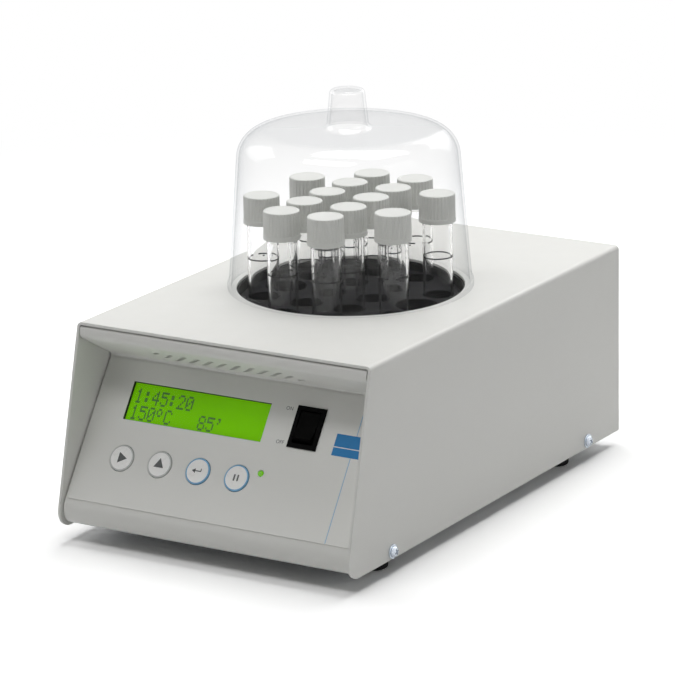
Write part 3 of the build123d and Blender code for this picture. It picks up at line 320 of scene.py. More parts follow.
def slab(
    name: str,
    size: tuple[float, float, float],
    foot: tuple[float, float, float],
    corner: float = 0.6,
    edge: float = 0.15,
) -> Object:
    """Raises an upright block with rounded corners and eased rims.

    Args:
        name: The new piece's name.
        size: Its width, depth and height in millimetres.
        foot: The middle of its underside, in millimetres.
        corner: The radius of its upright corners, in millimetres.
        edge: How far its rims are cut back, in millimetres.

    Returns:
        The block.
    """
    width, depth, height = size
    piece = primitive(bpy.ops.mesh.primitive_plane_add, name, size=MM)
    with editing(piece):
        bpy.ops.transform.resize(value=(width, depth, 1))
        bpy.ops.mesh.bevel(offset=corner * MM, segments=4, affect="VERTICES")
        bpy.ops.mesh.select_mode(type="FACE")
        bpy.ops.mesh.select_all(action="SELECT")
        bpy.ops.mesh.extrude_region_move(TRANSFORM_OT_translate={"value": (0, 0, height * MM)})
        bpy.ops.mesh.select_all(action="SELECT")
        bpy.ops.mesh.normals_make_consistent(inside=False)
    placed(piece, Matrix.Translation(Vector(foot) * MM))
    return eased(piece, edge * MM)


def row(
    piece: Object, count: int, step: tuple[float, float, float], centred: bool = True
) -> Object:
    """Repeats a piece in a straight row.

    Args:
        piece: The piece to repeat.
        count: How many there are in the end.
        step: From one to the next, in millimetres.
        centred: Whether the row's middle stays where the piece was.

    Returns:
        The whole row as one piece.
    """
    shift = Vector(step) * MM
    modified(
        piece,
        "ARRAY",
        count=count,
        use_relative_offset=False,
        use_constant_offset=True,
        constant_offset_displace=shift,
    )
    if centred:
        piece.data.transform(Matrix.Translation(-shift * (count - 1) / 2))
    return piece


def refined(node: str, edge: float, segments: int = 2) -> Object:
    """Copies a CAD node, merges its loose triangles and eases its edges.

    Args:
        node: The CAD node's name.
        edge: How far each edge is cut back, or 0 to leave them sharp.
        segments: Facets across each eased edge.

    Returns:
        The new piece, in the node's place.
    """
    piece = bpy.data.objects.new(f"{node}_finished", frame["nodes"][node].data.copy())
    bpy.context.scene.collection.objects.link(piece)
    alone(piece)
    bpy.ops.mesh.customdata_custom_splitnormals_clear()
    with editing(piece):
        bpy.ops.mesh.remove_doubles(threshold=1e-6)
        bpy.ops.mesh.dissolve_limited(angle_limit=radians(0.4))
    if edge:
        eased(piece, edge, segments)
    return piece


def dressed(
    piece: Object, finish: "Finish", body: str, stands_for: Sequence[str] = ()
) -> Object:
    """Gives a piece its finish and hangs it on the frame.

    Args:
        piece: The finished mesh object.
        finish: What its surface is.
        body: The CAD body that it rides on.
        stands_for: CAD nodes that it replaces.

    Returns:
        The same object.
    """
    placed(piece, Matrix.Identity(4))
    bpy.ops.object.shade_smooth_by_angle(angle=radians(32))
    modified(piece, "WEIGHTED_NORMAL", keep_sharp=True)
    piece.data.materials.clear()
    piece.data.materials.append(made(finish))
    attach(piece, body)
    if stands_for:
        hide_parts(*stands_for)
    LOG.info("%s: %d faces on %s", piece.name, len(piece.data.polygons), body)
    return piece


def painted_node(node: str, finish: "Finish") -> None:
    """Gives a CAD node that stays in view its finish.

    Args:
        node: The CAD node's name.
        finish: What its surface is.
    """
    slots = frame["nodes"][node].data.materials
    slots.clear()
    slots.append(made(finish))
    LOG.info("%s: CAD node in %s", node, finish.name)


def middle_of(node: str) -> Vector:
    """Returns the middle of a CAD node's box."""
    low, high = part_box(node)
    return (low + high) / 2


# --- Finishes --------------------------------------------------------------------------------


def linear(colour: tuple[int, int, int]) -> tuple[float, float, float, float]:
    """Turns a colour as read from a screen into the light that a shader needs.

    Args:
        colour: Red, green and blue from 0 to 255.

    Returns:
        Red, green, blue and alpha from 0 to 1, linear.
    """
    shares = [value / 255 for value in colour]
    red, green, blue = (s / 12.92 if s <= 0.04045 else ((s + 0.055) / 1.055) ** 2.4 for s in shares)
    return (red, green, blue, 1.0)


def seen_directly(tree: NodeTree, otherwise: float, directly: float) -> NodeSocket:
    """Tells rays from the camera, also by way of gloss and glass, from all other rays.

    Args:
        tree: The node tree of a material or of the world.
        otherwise: The value for light that bounces about.
        directly: The value for what the camera sees.

    Returns:
        The socket that gives the value.
    """
    path = tree.nodes.new("ShaderNodeLightPath")
    seen = path.outputs["Is Camera Ray"]
    for name in ("Is Glossy Ray", "Is Transmission Ray"):
        either = tree.nodes.new("ShaderNodeMath")
        either.operation = "MAXIMUM"
        tree.links.new(seen, either.inputs[0])
        tree.links.new(path.outputs[name], either.inputs[1])
        seen = either.outputs["Value"]
    value = tree.nodes.new("ShaderNodeMath")
    value.operation = "MULTIPLY_ADD"
    value.inputs[1].default_value = directly - otherwise
    value.inputs[2].default_value = otherwise
    tree.links.new(seen, value.inputs[0])
    return value.outputs["Value"]


class Surface:
    """A material under construction, with the few patterns that the finishes share."""

    def __init__(self, name: str) -> None:
        """Starts a material with one Principled shader.

        Args:
            name: The material's name.
        """
        self.material: Material = bpy.data.materials.new(name)
        self.material.use_nodes = True
        self.tree = self.material.node_tree
        self.tree.nodes.clear()
        self.output = self.add("ShaderNodeOutputMaterial")
        self.shader = self.add("ShaderNodeBsdfPrincipled")
        self.link(self.shader.outputs["BSDF"], self.output.inputs["Surface"])
        self.place: NodeSocket = self.add("ShaderNodeTexCoord").outputs["Object"]

    def add(self, kind: str, **settings: object) -> Node:
        """Adds a node and sets its properties."""
        node = self.tree.nodes.new(kind)
        for setting, value in settings.items():
            setattr(node, setting, value)
        return node

    def link(self, source: NodeSocket, target: NodeSocket) -> None:
        """Joins one node's output to another's input."""
        self.tree.links.new(source, target)

    def set(self, **values: object) -> None:
        """Sets sockets of the Principled shader, named with _ for each space."""
        for name, value in values.items():
            self.shader.inputs[name.replace("_", " ")].default_value = value

    def noise(
        self, size: float, detail: float = 3.0, stretch: tuple[float, float, float] = (1, 1, 1)
    ) -> NodeSocket:
        """Soft irregular lumps on object coordinates.

        Args:
            size: How wide a lump is, in metres.
            detail: How many finer layers it has.
            stretch: How much longer lumps are along each axis.

        Returns:
            The socket that gives the pattern, from 0 to 1.
        """
        mapping = self.add("ShaderNodeMapping")
        mapping.inputs["Scale"].default_value = [1 / share for share in stretch]
        self.link(self.place, mapping.inputs["Vector"])
        lumps = self.add("ShaderNodeTexNoise")
        lumps.inputs["Scale"].default_value = 1 / size
        lumps.inputs["Detail"].default_value = detail
        self.link(mapping.outputs["Vector"], lumps.inputs["Vector"])
        return lumps.outputs["Fac"]

    def spread(self, source: NodeSocket, low: float, high: float) -> NodeSocket:
        """Maps the middle range of a pattern to numbers between low and high."""
        ranged = self.add("ShaderNodeMapRange")
        for name, value in zip(("From Min", "From Max", "To Min", "To Max"), (0.3, 0.7, low, high)):
            ranged.inputs[name].default_value = value
        self.link(source, ranged.inputs["Value"])
        return ranged.outputs["Result"]

    def blend(self, share: NodeSocket, first: object, second: object) -> NodeSocket:
        """Mixes two colours or colour sockets by a pattern."""
        mix = self.add("ShaderNodeMix", data_type="RGBA")
        self.link(share, mix.inputs["Factor"])
        for name, value in (("A", first), ("B", second)):
            target = next(s for s in mix.inputs if s.name == name and s.type == "RGBA")
            if isinstance(value, NodeSocket):
                self.link(value, target)
            else:
                target.default_value = value
        return next(s for s in mix.outputs if s.type == "RGBA")

    def mottled(self, colour: tuple[int, int, int], size: float, depth: float) -> None:
        """Colours the shader with slightly uneven tone.

        Args:
            colour: The middle tone, 0 to 255.
            size: How wide a patch is, in metres.
            depth: How far the tone moves each way, as a share of it.
        """
        tone = Vector(linear(colour)[:3])
        dark, pale = (tuple(tone * share) + (1.0,) for share in (1 - depth, 1 + depth))
        self.link(self.blend(self.noise(size), dark, pale), self.shader.inputs["Base Color"])

    def uneven_gloss(self, low: float, high: float, size: float) -> None:
        """Lets the roughness wander between two values."""
        self.link(self.spread(self.noise(size), low, high), self.shader.inputs["Roughness"])

    def raised(self, height: NodeSocket, depth: float) -> None:
        """Raises the surface by a pattern, on top of what raises it already.

        Args:
            height: The pattern.
            depth: How high its peaks are, in metres.
        """
        bump = self.add("ShaderNodeBump")
        bump.inputs["Distance"].default_value = depth
        self.link(height, bump.inputs["Height"])
        if self.shader.inputs["Normal"].is_linked:
            self.link(self.shader.inputs["Normal"].links[0].from_socket, bump.inputs["Normal"])
        self.link(bump.outputs["Normal"], self.shader.inputs["Normal"])


@dataclass(frozen=True)
class Finish:
    """A surface finish: its name, its colour from 0 to 255 and how matt it is."""

    name: str
    colour: tuple[int, int, int]
    roughness: float = 0.5

    def build(self) -> Material:
        """Builds the material."""
        raise NotImplementedError


@lru_cache(maxsize=None)
def made(finish: Finish) -> Material:
    """Builds a finish's material once and returns it each time it is asked for."""
    return finish.build()


@dataclass(frozen=True)
class PowderCoat(Finish):
    """Baked powder paint on sheet: an even tone with fine orange peel."""

    peel: float = 1.1 * MM

    def build(self) -> Material:
        """Builds the paint."""
        surface = Surface(self.name)
        surface.mottled(self.colour, 45 * MM, 0.012)
        surface.uneven_gloss(self.roughness - 0.05, self.roughness + 0.05, 9 * MM)
        surface.raised(surface.noise(self.peel, 2.0), 0.02 * MM)
        surface.raised(surface.noise(0.35 * MM, 1.0), 0.006 * MM)
        surface.set(Specular_IOR_Level=0.4)
        return surface.material


@dataclass(frozen=True)
class Moulded(Finish):
    """Moulded plastic or rubber with a fine grain."""

    grain: float = 0.5 * MM
    depth: float = 0.01 * MM
    shine: float = 0.5

    def build(self) -> Material:
        """Builds the plastic."""
        surface = Surface(self.name)
        surface.mottled(self.colour, 6 * MM, 0.03)
        surface.uneven_gloss(self.roughness - 0.06, self.roughness + 0.06, 3 * MM)
        surface.raised(surface.noise(self.grain, 2.0), self.depth)
        surface.set(Specular_IOR_Level=self.shine)
        return surface.material


@dataclass(frozen=True)
class SilverFilm(Finish):
    """Printed keypad film: silver-grey ink with a faint metallic grain under a matt skin."""

    def build(self) -> Material:
        """Builds the film."""
        surface = Surface(self.name)
        tone = Vector(linear(self.colour)[:3])
        flakes = surface.noise(0.22 * MM, 1.0)
        clouds = surface.noise(60 * MM, 1.0)
        fine = surface.blend(flakes, tuple(tone * 0.96) + (1.0,), tuple(tone * 1.04) + (1.0,))
        wide = surface.blend(clouds, (0.985, 0.985, 0.985, 1.0), (1.0, 1.0, 1.0, 1.0))
        tinted = surface.add("ShaderNodeMix", data_type="RGBA", blend_type="MULTIPLY")
        tinted.inputs["Factor"].default_value = 1.0
        colours = [s for s in tinted.inputs if s.type == "RGBA"]
        surface.link(fine, colours[0])
        surface.link(wide, colours[1])
        shown = next(s for s in tinted.outputs if s.type == "RGBA")
        surface.link(shown, surface.shader.inputs["Base Color"])
        surface.uneven_gloss(self.roughness - 0.04, self.roughness + 0.04, 2 * MM)
        surface.raised(flakes, 0.004 * MM)
        surface.set(Metallic=0.15, Specular_IOR_Level=0.4)
        return surface.material


@dataclass(frozen=True)
class Ink(Finish):
    """Screen-printed ink, with the slight pinholes and edges of a print."""

    def build(self) -> Material:
        """Builds the ink."""
        surface = Surface(self.name)
        surface.mottled(self.colour, 0.6 * MM, 0.06)
        surface.uneven_gloss(self.roughness - 0.05, self.roughness + 0.05, 1 * MM)
        surface.raised(surface.noise(0.15 * MM, 1.0), 0.003 * MM)
        return surface.material


@dataclass(frozen=True)
class Metal(Finish):
    """Bare or plated metal with fine scratches and a slightly uneven sheen."""

    scratch: tuple[float, float, float] = (12, 1, 1)
    shine: float = 1.0
    glint: float = 0.5

    def build(self) -> Material:
        """Builds the metal."""
        surface = Surface(self.name)
        surface.mottled(self.colour, 5 * MM, 0.05)
        surface.uneven_gloss(self.roughness - 0.07, self.roughness + 0.09, 2.5 * MM)
        surface.raised(surface.noise(0.18 * MM, 2.0, self.scratch), 0.004 * MM)
        surface.set(Metallic=self.shine, Specular_IOR_Level=self.glint)
        return surface.material


@dataclass(frozen=True)
class ClearShell(Finish):
    """Clear plastic wall: seen through, more like a mirror towards its edges, and greyer there by
    painted shade that stands in for the darker surroundings the wall bends into view.
    """

    sheen: float = 0.015
    edge_sheen: float = 0.5
    painted_edge_shade: tuple[int, int, int] = (237, 239, 240)
    shoulder_highlight_sheen: float = 0.0
    shoulder_highlight_heights: tuple[float, float] = (0.0, 1.0)

    def build(self) -> Material:
        """Builds the wall from a see-through shader, greyed towards the edges as painted shade, and a
        mirror sheen over it.
        """
        surface = Surface(self.name)
        surface.set(Base_Color=linear(self.colour), Metallic=1.0)
        surface.uneven_gloss(self.roughness, self.roughness + 0.02, 30 * MM)
        surface.raised(surface.noise(22 * MM, 1.0), 0.03 * MM)
        through = surface.add("ShaderNodeBsdfTransparent")
        # The see-through colour turns grey towards the edges: painted shade in place of the darker
        # surroundings that real plastic bends into view.
        clear = (0.98, 0.98, 0.98, 1.0)
        edge_shaded_through = surface.blend(self.towards_edge(surface, 4.0, 1.0, 0.0), clear, linear(self.painted_edge_shade))
        surface.link(edge_shaded_through, through.inputs["Color"])
        mix = surface.add("ShaderNodeMixShader")
        sheen = self.towards_edge(surface, 5.0, self.edge_sheen, self.sheen)
        surface.link(self.with_shoulder_highlight(surface, sheen), mix.inputs["Fac"])
        surface.link(through.outputs["BSDF"], mix.inputs[1])
        surface.link(surface.shader.outputs["BSDF"], mix.inputs[2])
        surface.link(mix.outputs["Shader"], surface.output.inputs["Surface"])
        return surface.material

    def with_shoulder_highlight(self, surface: Surface, sheen: NodeSocket) -> NodeSocket:
        """Adds a stronger mirror share round the shoulder, set by height alone: a painted highlight
        band where the lamps reflect.

        Args:
            surface: The material under construction.
            sheen: The wall's own gloss.

        Returns:
            The socket that gives the gloss in all.
        """
        if not self.shoulder_highlight_sheen:
            return sheen
        # Painted highlight: the mirror share rises by height round the shoulder.
        height = surface.add("ShaderNodeSeparateXYZ")
        surface.link(surface.place, height.inputs["Vector"])
        rise = surface.add("ShaderNodeMapRange", interpolation_type="SMOOTHSTEP")
        low, high = self.shoulder_highlight_heights
        limits = (low * MM, high * MM, 0.0, self.shoulder_highlight_sheen)
        for name, value in zip(("From Min", "From Max", "To Min", "To Max"), limits):
            rise.inputs[name].default_value = value
        surface.link(height.outputs["Z"], rise.inputs["Value"])
        total = surface.add("ShaderNodeMath", operation="ADD")
        surface.link(sheen, total.inputs[0])
        surface.link(rise.outputs["Result"], total.inputs[1])
        return total.outputs["Value"]

    def towards_edge(
        self, surface: Surface, steepness: float, most: float, least: float
    ) -> NodeSocket:
        """Gives a value that grows where the wall turns away from the viewer.

        Args:
            surface: The material under construction.
            steepness: How late the value grows.
            most: What is added to it at the very edge.
            least: The value where the wall faces the viewer.

        Returns:
            The socket that gives the value.
        """
        facing = surface.add("ShaderNodeLayerWeight")
        facing.inputs["Blend"].default_value = 0.5
        rising = surface.add("ShaderNodeMath", operation="POWER")
        rising.inputs[1].default_value = steepness
        surface.link(facing.outputs["Facing"], rising.inputs[0])
        value = surface.add("ShaderNodeMath", operation="MULTIPLY_ADD")
        value.inputs[1].default_value = most
        value.inputs[2].default_value = least
        surface.link(rising.outputs["Value"], value.inputs[0])
        return value.outputs["Value"]


@dataclass(frozen=True)
class TubeGlass(Finish):
    """Borosilicate glass that bends what is behind it and lets lamp light through."""

    def build(self) -> Material:
        """Builds the glass, clear for the rays that go to the lamps."""
        surface = Surface(self.name)
        surface.set(
            Base_Color=linear(self.colour),
            Transmission_Weight=1.0,
            IOR=1.3,
            Roughness=self.roughness,
            Specular_IOR_Level=0.2,
        )
        surface.raised(surface.noise(9 * MM, 1.0, (1, 1, 4)), 0.015 * MM)
        through = surface.add("ShaderNodeBsdfTransparent")
        through.inputs["Color"].default_value = (0.98, 0.98, 0.98, 1.0)
        path = surface.add("ShaderNodeLightPath")
        mix = surface.add("ShaderNodeMixShader")
        surface.link(path.outputs["Is Shadow Ray"], mix.inputs["Fac"])
        surface.link(surface.shader.outputs["BSDF"], mix.inputs[1])
        surface.link(through.outputs["BSDF"], mix.inputs[2])
        surface.link(mix.outputs["Shader"], surface.output.inputs["Surface"])
        return surface.material


@dataclass(frozen=True)
class Backlight(Finish):
    """A lit surface: a glowing display face or lamp lens."""

    glow: float = 0.5
    unevenness: float = 0.12
    patch: float = 40 * MM
    shine: float = 0.05

    def build(self) -> Material:
        """Builds the glowing surface, a little brighter in some places than in others."""
        surface = Surface(self.name)
        tone = Vector(linear(self.colour)[:3])
        dark, pale = (
            tuple(tone * share) + (1.0,) for share in (1 - self.unevenness, 1 + self.unevenness)
        )
        lit = surface.blend(surface.noise(self.patch, 1.0), dark, pale)
        surface.link(lit, surface.shader.inputs["Base Color"])
        surface.link(lit, surface.shader.inputs["Emission Color"])
        surface.raised(surface.noise(0.3 * MM, 1.0), 0.002 * MM)
        surface.set(
            Emission_Strength=self.glow, Roughness=self.roughness, Specular_IOR_Level=self.shine
        )
        return surface.material


@dataclass(frozen=True)
class Wool(Finish):
    """Pressed mineral wool: matted fibres in several tones."""

    def build(self) -> Material:
        """Builds the wool."""
        surface = Surface(self.name)
        surface.mottled(self.colour, 1.5 * MM, 0.25)
        fibres = surface.noise(0.8 * MM, 6.0, (5, 1, 1))
        surface.raised(fibres, 0.4 * MM)
        surface.set(Roughness=self.roughness, Specular_IOR_Level=0.1)
        return surface.material


@dataclass(frozen=True)
class Laminate(Finish):
    """Circuit board under green lacquer, with copper tracks showing through."""

    track: float = 2.6 * MM

    def build(self) -> Material:
        """Builds the board."""
        surface = Surface(self.name)
        tracks = surface.add("ShaderNodeTexBrick")
        tone = Vector(linear(self.colour)[:3])
        tracks.inputs["Color1"].default_value = tuple(tone) + (1.0,)
        tracks.inputs["Color2"].default_value = tuple(tone * 1.15) + (1.0,)
        tracks.inputs["Mortar"].default_value = tuple(tone * 1.9) + (1.0,)
        tracks.inputs["Scale"].default_value = 0.25 / self.track
        tracks.inputs["Mortar Size"].default_value = 0.03
        surface.link(surface.place, tracks.inputs["Vector"])
        surface.link(tracks.outputs["Color"], surface.shader.inputs["Base Color"])
        surface.raised(tracks.outputs["Fac"], 0.03 * MM)
        surface.uneven_gloss(self.roughness - 0.05, self.roughness + 0.05, 4 * MM)
        return surface.material


class Finishes:
    """Every finish on the reactor."""

    PAINT = PowderCoat("powder_paint", (221, 221, 217), 0.42)
    FILM = SilverFilm("silver_film", (215, 215, 211), 0.38)
    GREY_INK = Ink("grey_ink", (78, 80, 80), 0.5)
    PALE_INK = Ink("pale_grey_ink", (200, 202, 200), 0.5)
    BLUE_INK = Ink("blue_ink", (8, 116, 176), 0.45)
    PALE_BLUE_INK = Ink("pale_blue_ink", (120, 174, 212), 0.45)
    KEY = Moulded("white_key", (254, 254, 252), 0.3, 0.4 * MM, 0.004 * MM)
    DISPLAY = Backlight("display_green", (112, 190, 4), 0.3, 0.42, 0.08, 50 * MM)
    CHARACTER = Ink("display_character", (58, 122, 20), 0.35)
    LAMP = Backlight("lamp_green", (96, 168, 6), 0.2, 0.5, 0.25, 1.5 * MM, 0.5)
    # A dark finish for the display's lining, standing in for the recess's shade.
    SHADE_GASKET = Moulded("dark_gasket", (26, 27, 26), 0.6)
    SWITCH = Moulded("switch_black", (4, 4, 4), 0.5, 0.3 * MM, 0.006 * MM, 0.03)
    BLOCK = Metal("anodised_black", (15, 15, 17), 0.55, (1, 8, 1), 0.03, 0.03)
    COLLAR = Moulded("collar_black", (20, 20, 20), 0.6, 0.4 * MM, 0.012 * MM, 0.12)
    CAP = Moulded("cap_grey", (228, 229, 225), 0.42, 0.35 * MM, 0.006 * MM, 0.4)
    GLASS = TubeGlass("tube_glass", (254, 254, 254), 0.0)
    GLASS_MARK = Ink("glass_mark", (18, 18, 18), 0.4)
    # The dome and the display lens are greyed towards their edges as painted shade; the dome's shoulder
    # also gets a painted highlight band between the two heights.
    DOME = ClearShell(
        "dome_clear", (255, 255, 255), 0.03, 0.006, 0.065, (232, 233, 234), 0.035, (186, 196)
    )
    LENS = ClearShell("display_lens", (255, 255, 255), 0.1, 0.002, 0.03, (240, 243, 240))
    ZINC = Metal("bright_zinc", (196, 203, 212), 0.24, (1, 1, 1))
    PLATED = Metal("plated_sheet", (182, 184, 184), 0.4, (14, 1, 1), 0.9)
    RUBBER = Moulded("foot_rubber", (16, 16, 16), 0.75, 0.6 * MM, 0.03 * MM, 0.2)
    WOOL = Wool("mineral_wool", (166, 150, 108), 0.95)
    ALUMINIUM = Metal("cast_aluminium", (172, 174, 176), 0.42, (1, 1, 1))
    BRASS = Metal("brass", (196, 164, 92), 0.3, (1, 1, 6))
    CORE = Metal("core_steel", (92, 92, 96), 0.5, (1, 1, 30), 0.85)
    COIL = Moulded("coil_tape", (196, 168, 74), 0.45, 1.2 * MM, 0.05 * MM)
    BOARD = Laminate("circuit_board", (22, 92, 50), 0.35)
    CHIP = Moulded("chip_black", (28, 28, 30), 0.5, 0.3 * MM)
    RELAY = Moulded("relay_blue", (34, 74, 150), 0.35)
    CLAMP = Moulded("clamp_green", (40, 128, 66), 0.45)
    FIN = Metal("heat_sink_black", (38, 38, 40), 0.45, (1, 1, 14), 0.5)
    BOBBIN = Moulded("bobbin_white", (214, 210, 196), 0.5)
    SLEEVE = Moulded("capacitor_sleeve", (22, 30, 60), 0.3, 0.3 * MM, 0.004 * MM)
    RESISTOR = Moulded("resistor_body", (196, 178, 138), 0.5, 0.3 * MM, 0.01 * MM)


# --- Studio and camera -----------------------------------------------------------------------


@dataclass(frozen=True)
class Lamp:
    """A soft box: its name, place, the point it faces, its size and its power."""

    name: str
    place: tuple[float, float, float]
    target: tuple[float, float, float]
    size: tuple[float, float]
    power: float

    def hang(self) -> Object:
        """Adds the lamp and returns it."""
        bpy.ops.object.select_all(action="DESELECT")
        bpy.ops.object.light_add(type="AREA", location=self.place)
        lamp = bpy.context.object
        lamp.name = self.name
        lamp.data.shape = "RECTANGLE"
        lamp.data.size, lamp.data.size_y = self.size
        lamp.data.energy = self.power
        aim = Vector(self.target) - Vector(self.place)
        lamp.rotation_euler = aim.to_track_quat("-Z", "Y").to_euler()
        return lamp


@dataclass
class Studio:
    """White sweep, soft boxes and the camera at the photograph's viewing angle."""

    target: Vector = field(default_factory=lambda: Vector((-11.97, 11.55, 80.92)) * MM)
    azimuth: float = 31.78
    elevation: float = 16.18
    roll: float = -1.14
    distance: float = 2156.03 * MM
    lens: float = 217.03
    floor_span: float = 12.0
    floor_fade: tuple[float, float] = (0.45, 0.85)
    ambient: float = 0.015
    floor_bounce: float = 0.88
    floor_seen: float = 1.25
    lamps: tuple[Lamp, ...] = (
        Lamp("top_box", (0.0, 0.35, 1.5), (0.0, 0.0, 0.05), (1.1, 0.8), 13.2),
        Lamp("front_top_box", (0.0, -0.7, 1.45), (0.0, 0.0, 0.08), (1.1, 0.4), 6.4),
        Lamp("right_box", (1.5, 0.1, 0.9), (0.0, 0.0, 0.08), (1.0, 1.0), 2.8),
        Lamp("left_box", (-1.5, 0.1, 0.9), (0.0, 0.0, 0.08), (1.0, 1.0), 7.4),
        Lamp("front_box", (-0.7, -1.6, 0.7), (0.0, 0.0, 0.08), (1.0, 0.9), 1.0),
        Lamp("back_box", (0.0, 1.7, 0.9), (0.0, 0.0, 0.08), (1.2, 1.0), 9.3),
    )

    def build(self) -> None:
        """Builds the floor, the light and the camera."""
        self.lay_floor()
        self.set_world()
        for lamp in self.lamps:
            lamp.hang()
        self.aim_camera()

    def lay_floor(self) -> None:
        """Lays a pale floor that keeps the shadow and fades to plain white further out."""
        floor = primitive(bpy.ops.mesh.primitive_plane_add, "floor", size=self.floor_span)
        surface = Surface("floor_white")
        bounced, seen = ((tone, tone, tone, 1.0) for tone in (self.floor_bounce, self.floor_seen))
        share = seen_directly(surface.tree, 0.0, 1.0)
        surface.link(surface.blend(share, bounced, seen), surface.shader.inputs["Base Color"])
        surface.set(Roughness=0.9, Specular_IOR_Level=0.0)
        distance = surface.add("ShaderNodeVectorMath", operation="LENGTH")
        surface.link(surface.place, distance.inputs[0])
        fade = surface.add("ShaderNodeMapRange", interpolation_type="SMOOTHSTEP")
        for name, value in zip(("From Min", "From Max"), self.floor_fade):
            fade.inputs[name].default_value = value
        surface.link(distance.outputs["Value"], fade.inputs["Value"])
        amount = surface.add("ShaderNodeMath", operation="MULTIPLY")
        surface.link(share, amount.inputs[0])
        surface.link(fade.outputs["Result"], amount.inputs[1])
        mix = surface.add("ShaderNodeMixShader")
        surface.link(amount.outputs["Value"], mix.inputs["Fac"])
        surface.link(surface.shader.outputs["BSDF"], mix.inputs[1])
        surface.link(surface.add("ShaderNodeEmission").outputs["Emission"], mix.inputs[2])
        surface.link(mix.outputs["Shader"], surface.output.inputs["Surface"])
        floor.data.materials.append(surface.material)

    def set_world(self) -> None:
        """Makes the world white to the camera and a faint even light to the object."""
        world = bpy.data.worlds.new("studio_world")
        world.use_nodes = True
        tree = world.node_tree
        tree.nodes.clear()
        output = tree.nodes.new("ShaderNodeOutputWorld")
        background = tree.nodes.new("ShaderNodeBackground")
        background.inputs["Color"].default_value = (1.0, 1.0, 1.0, 1.0)
        tree.links.new(seen_directly(tree, self.ambient, 1.0), background.inputs["Strength"])
        tree.links.new(background.outputs["Background"], output.inputs["Surface"])
        bpy.context.scene.world = world
        bpy.context.scene.view_settings.view_transform = "Standard"

    def aim_camera(self) -> None:
        """Puts the camera where the photograph was taken from."""
        turn, rise, roll = radians(self.azimuth), radians(self.elevation), radians(self.roll)
        back = Vector((sin(turn) * cos(rise), -cos(turn) * cos(rise), sin(rise)))
        level = Vector((0, 0, 1)).cross(back).normalized()
        upright = back.cross(level)
        right = level * cos(roll) + upright * sin(roll)
        up = upright * cos(roll) - level * sin(roll)
        data = bpy.data.cameras.new("photograph_view")
        data.lens = self.lens
        data.sensor_width = 36.0
        data.clip_start, data.clip_end = 0.05, 50.0
        camera = bpy.data.objects.new("photograph_view", data)
        bpy.context.scene.collection.objects.link(camera)
        turned_to = Matrix((right, up, back)).transposed().to_4x4()
        camera.matrix_world = Matrix.Translation(self.target + back * self.distance) @ turned_to
        bpy.context.scene.camera = camera


# --- Fasteners -------------------------------------------------------------------------------


@dataclass
class CrossScrew:
    """A pan-head screw with a cross recess, a washer, a threaded shank and a hexagon nut."""

    head_radius: float = 2.9
    head_height: float = 1.9
    washer_radius: float = 3.8
    washer_height: float = 0.8
    shank_radius: float = 1.5
    thread_pitch: float = 0.6
    recess_depth: float = 1.1
    recess_width: float = 0.75
    nut_height: float = 3.0

    def head(self, washer: bool) -> Object:
        """Turns the head and cuts its cross, its seat at height 0 and its axis along +Z.

        Args:
            washer: Whether a washer lies under the head.

        Returns:
            The head.
        """
        seat = self.washer_height if washer else 0.0
        corners = [(0, seat), (self.head_radius, seat), (self.head_radius, seat + 0.5)]
        corners += [(self.head_radius * 0.72, seat + self.head_height * 0.92)]
        corners += [(0, seat + self.head_height)]
        head = turned("screw_head", rounded(corners, (0.15, 0.6, 0.9), 4), Vector(), 32)
        top = (seat + self.head_height) * MM
        for turn in (0.0, pi / 2):
            slot = primitive(
                bpy.ops.mesh.primitive_cube_add,
                "slot",
                size=1.0,
                location=(0, 0, top),
                rotation=(0, 0, turn),
                scale=(
                    self.head_radius * 1.15 * MM,
                    self.recess_width * MM,
                    2 * self.recess_depth * MM,
                ),
            )
            modified(head, "BOOLEAN", object=slot, operation="DIFFERENCE", solver="EXACT")
            bpy.data.objects.remove(slot)
        if not washer:
            return head
        ring = [(self.shank_radius, 0), (self.washer_radius, 0)]
        ring += [(self.washer_radius, seat), (self.shank_radius, seat), (self.shank_radius, 0)]
        plate = turned("washer", rounded(ring, (0.15, 0.2, 0.0), 2), Vector(), 32)
        return joined([head, plate], "screw_head")

    def shank(self, length: float) -> Object:
        """Turns a ridged shank that runs from height 0 down.

        Args:
            length: How long it is, in millimetres.

        Returns:
            The shank.
        """
        ridges = int(length / self.thread_pitch)
        corners = [(0.0, 0.0)]
        for ridge in range(ridges):
            top = -ridge * self.thread_pitch
            corners.append((self.shank_radius, top))
            corners.append((self.shank_radius - 0.25, top - self.thread_pitch / 2))
        corners += [(self.shank_radius - 0.25, -length), (0.0, -length)]
        outline = [Vector(corner) * MM for corner in corners]
        return turned("screw_shank", outline, Vector(), 20)

    def nut(self, top: float) -> Object:
        """Shapes a hexagon nut with eased corners, its upper face at a height.

        Args:
            top: That height, in millimetres.

        Returns:
            The nut.
        """
        nut = primitive(
            bpy.ops.mesh.primitive_cylinder_add,
            "nut",
            vertices=6,
            radius=self.head_radius * MM,
            depth=self.nut_height * MM,
            location=(0, 0, (top - self.nut_height / 2) * MM),
        )
        return eased(nut, 0.25 * MM)

    def build(self, length: float, nut_top: float, washer: bool = False) -> Object:
        """Assembles one screw with its seat at the origin and its head along +Z.

        Args:
            length: The shank's length, in millimetres.
            nut_top: The height of the nut's upper face, in millimetres.
            washer: Whether a washer lies under the head.

        Returns:
            The screw.
        """
        parts = [self.head(washer), self.shank(length), self.nut(nut_top)]
        return joined(parts, "screw")


# --- Housing ---------------------------------------------------------------------------------


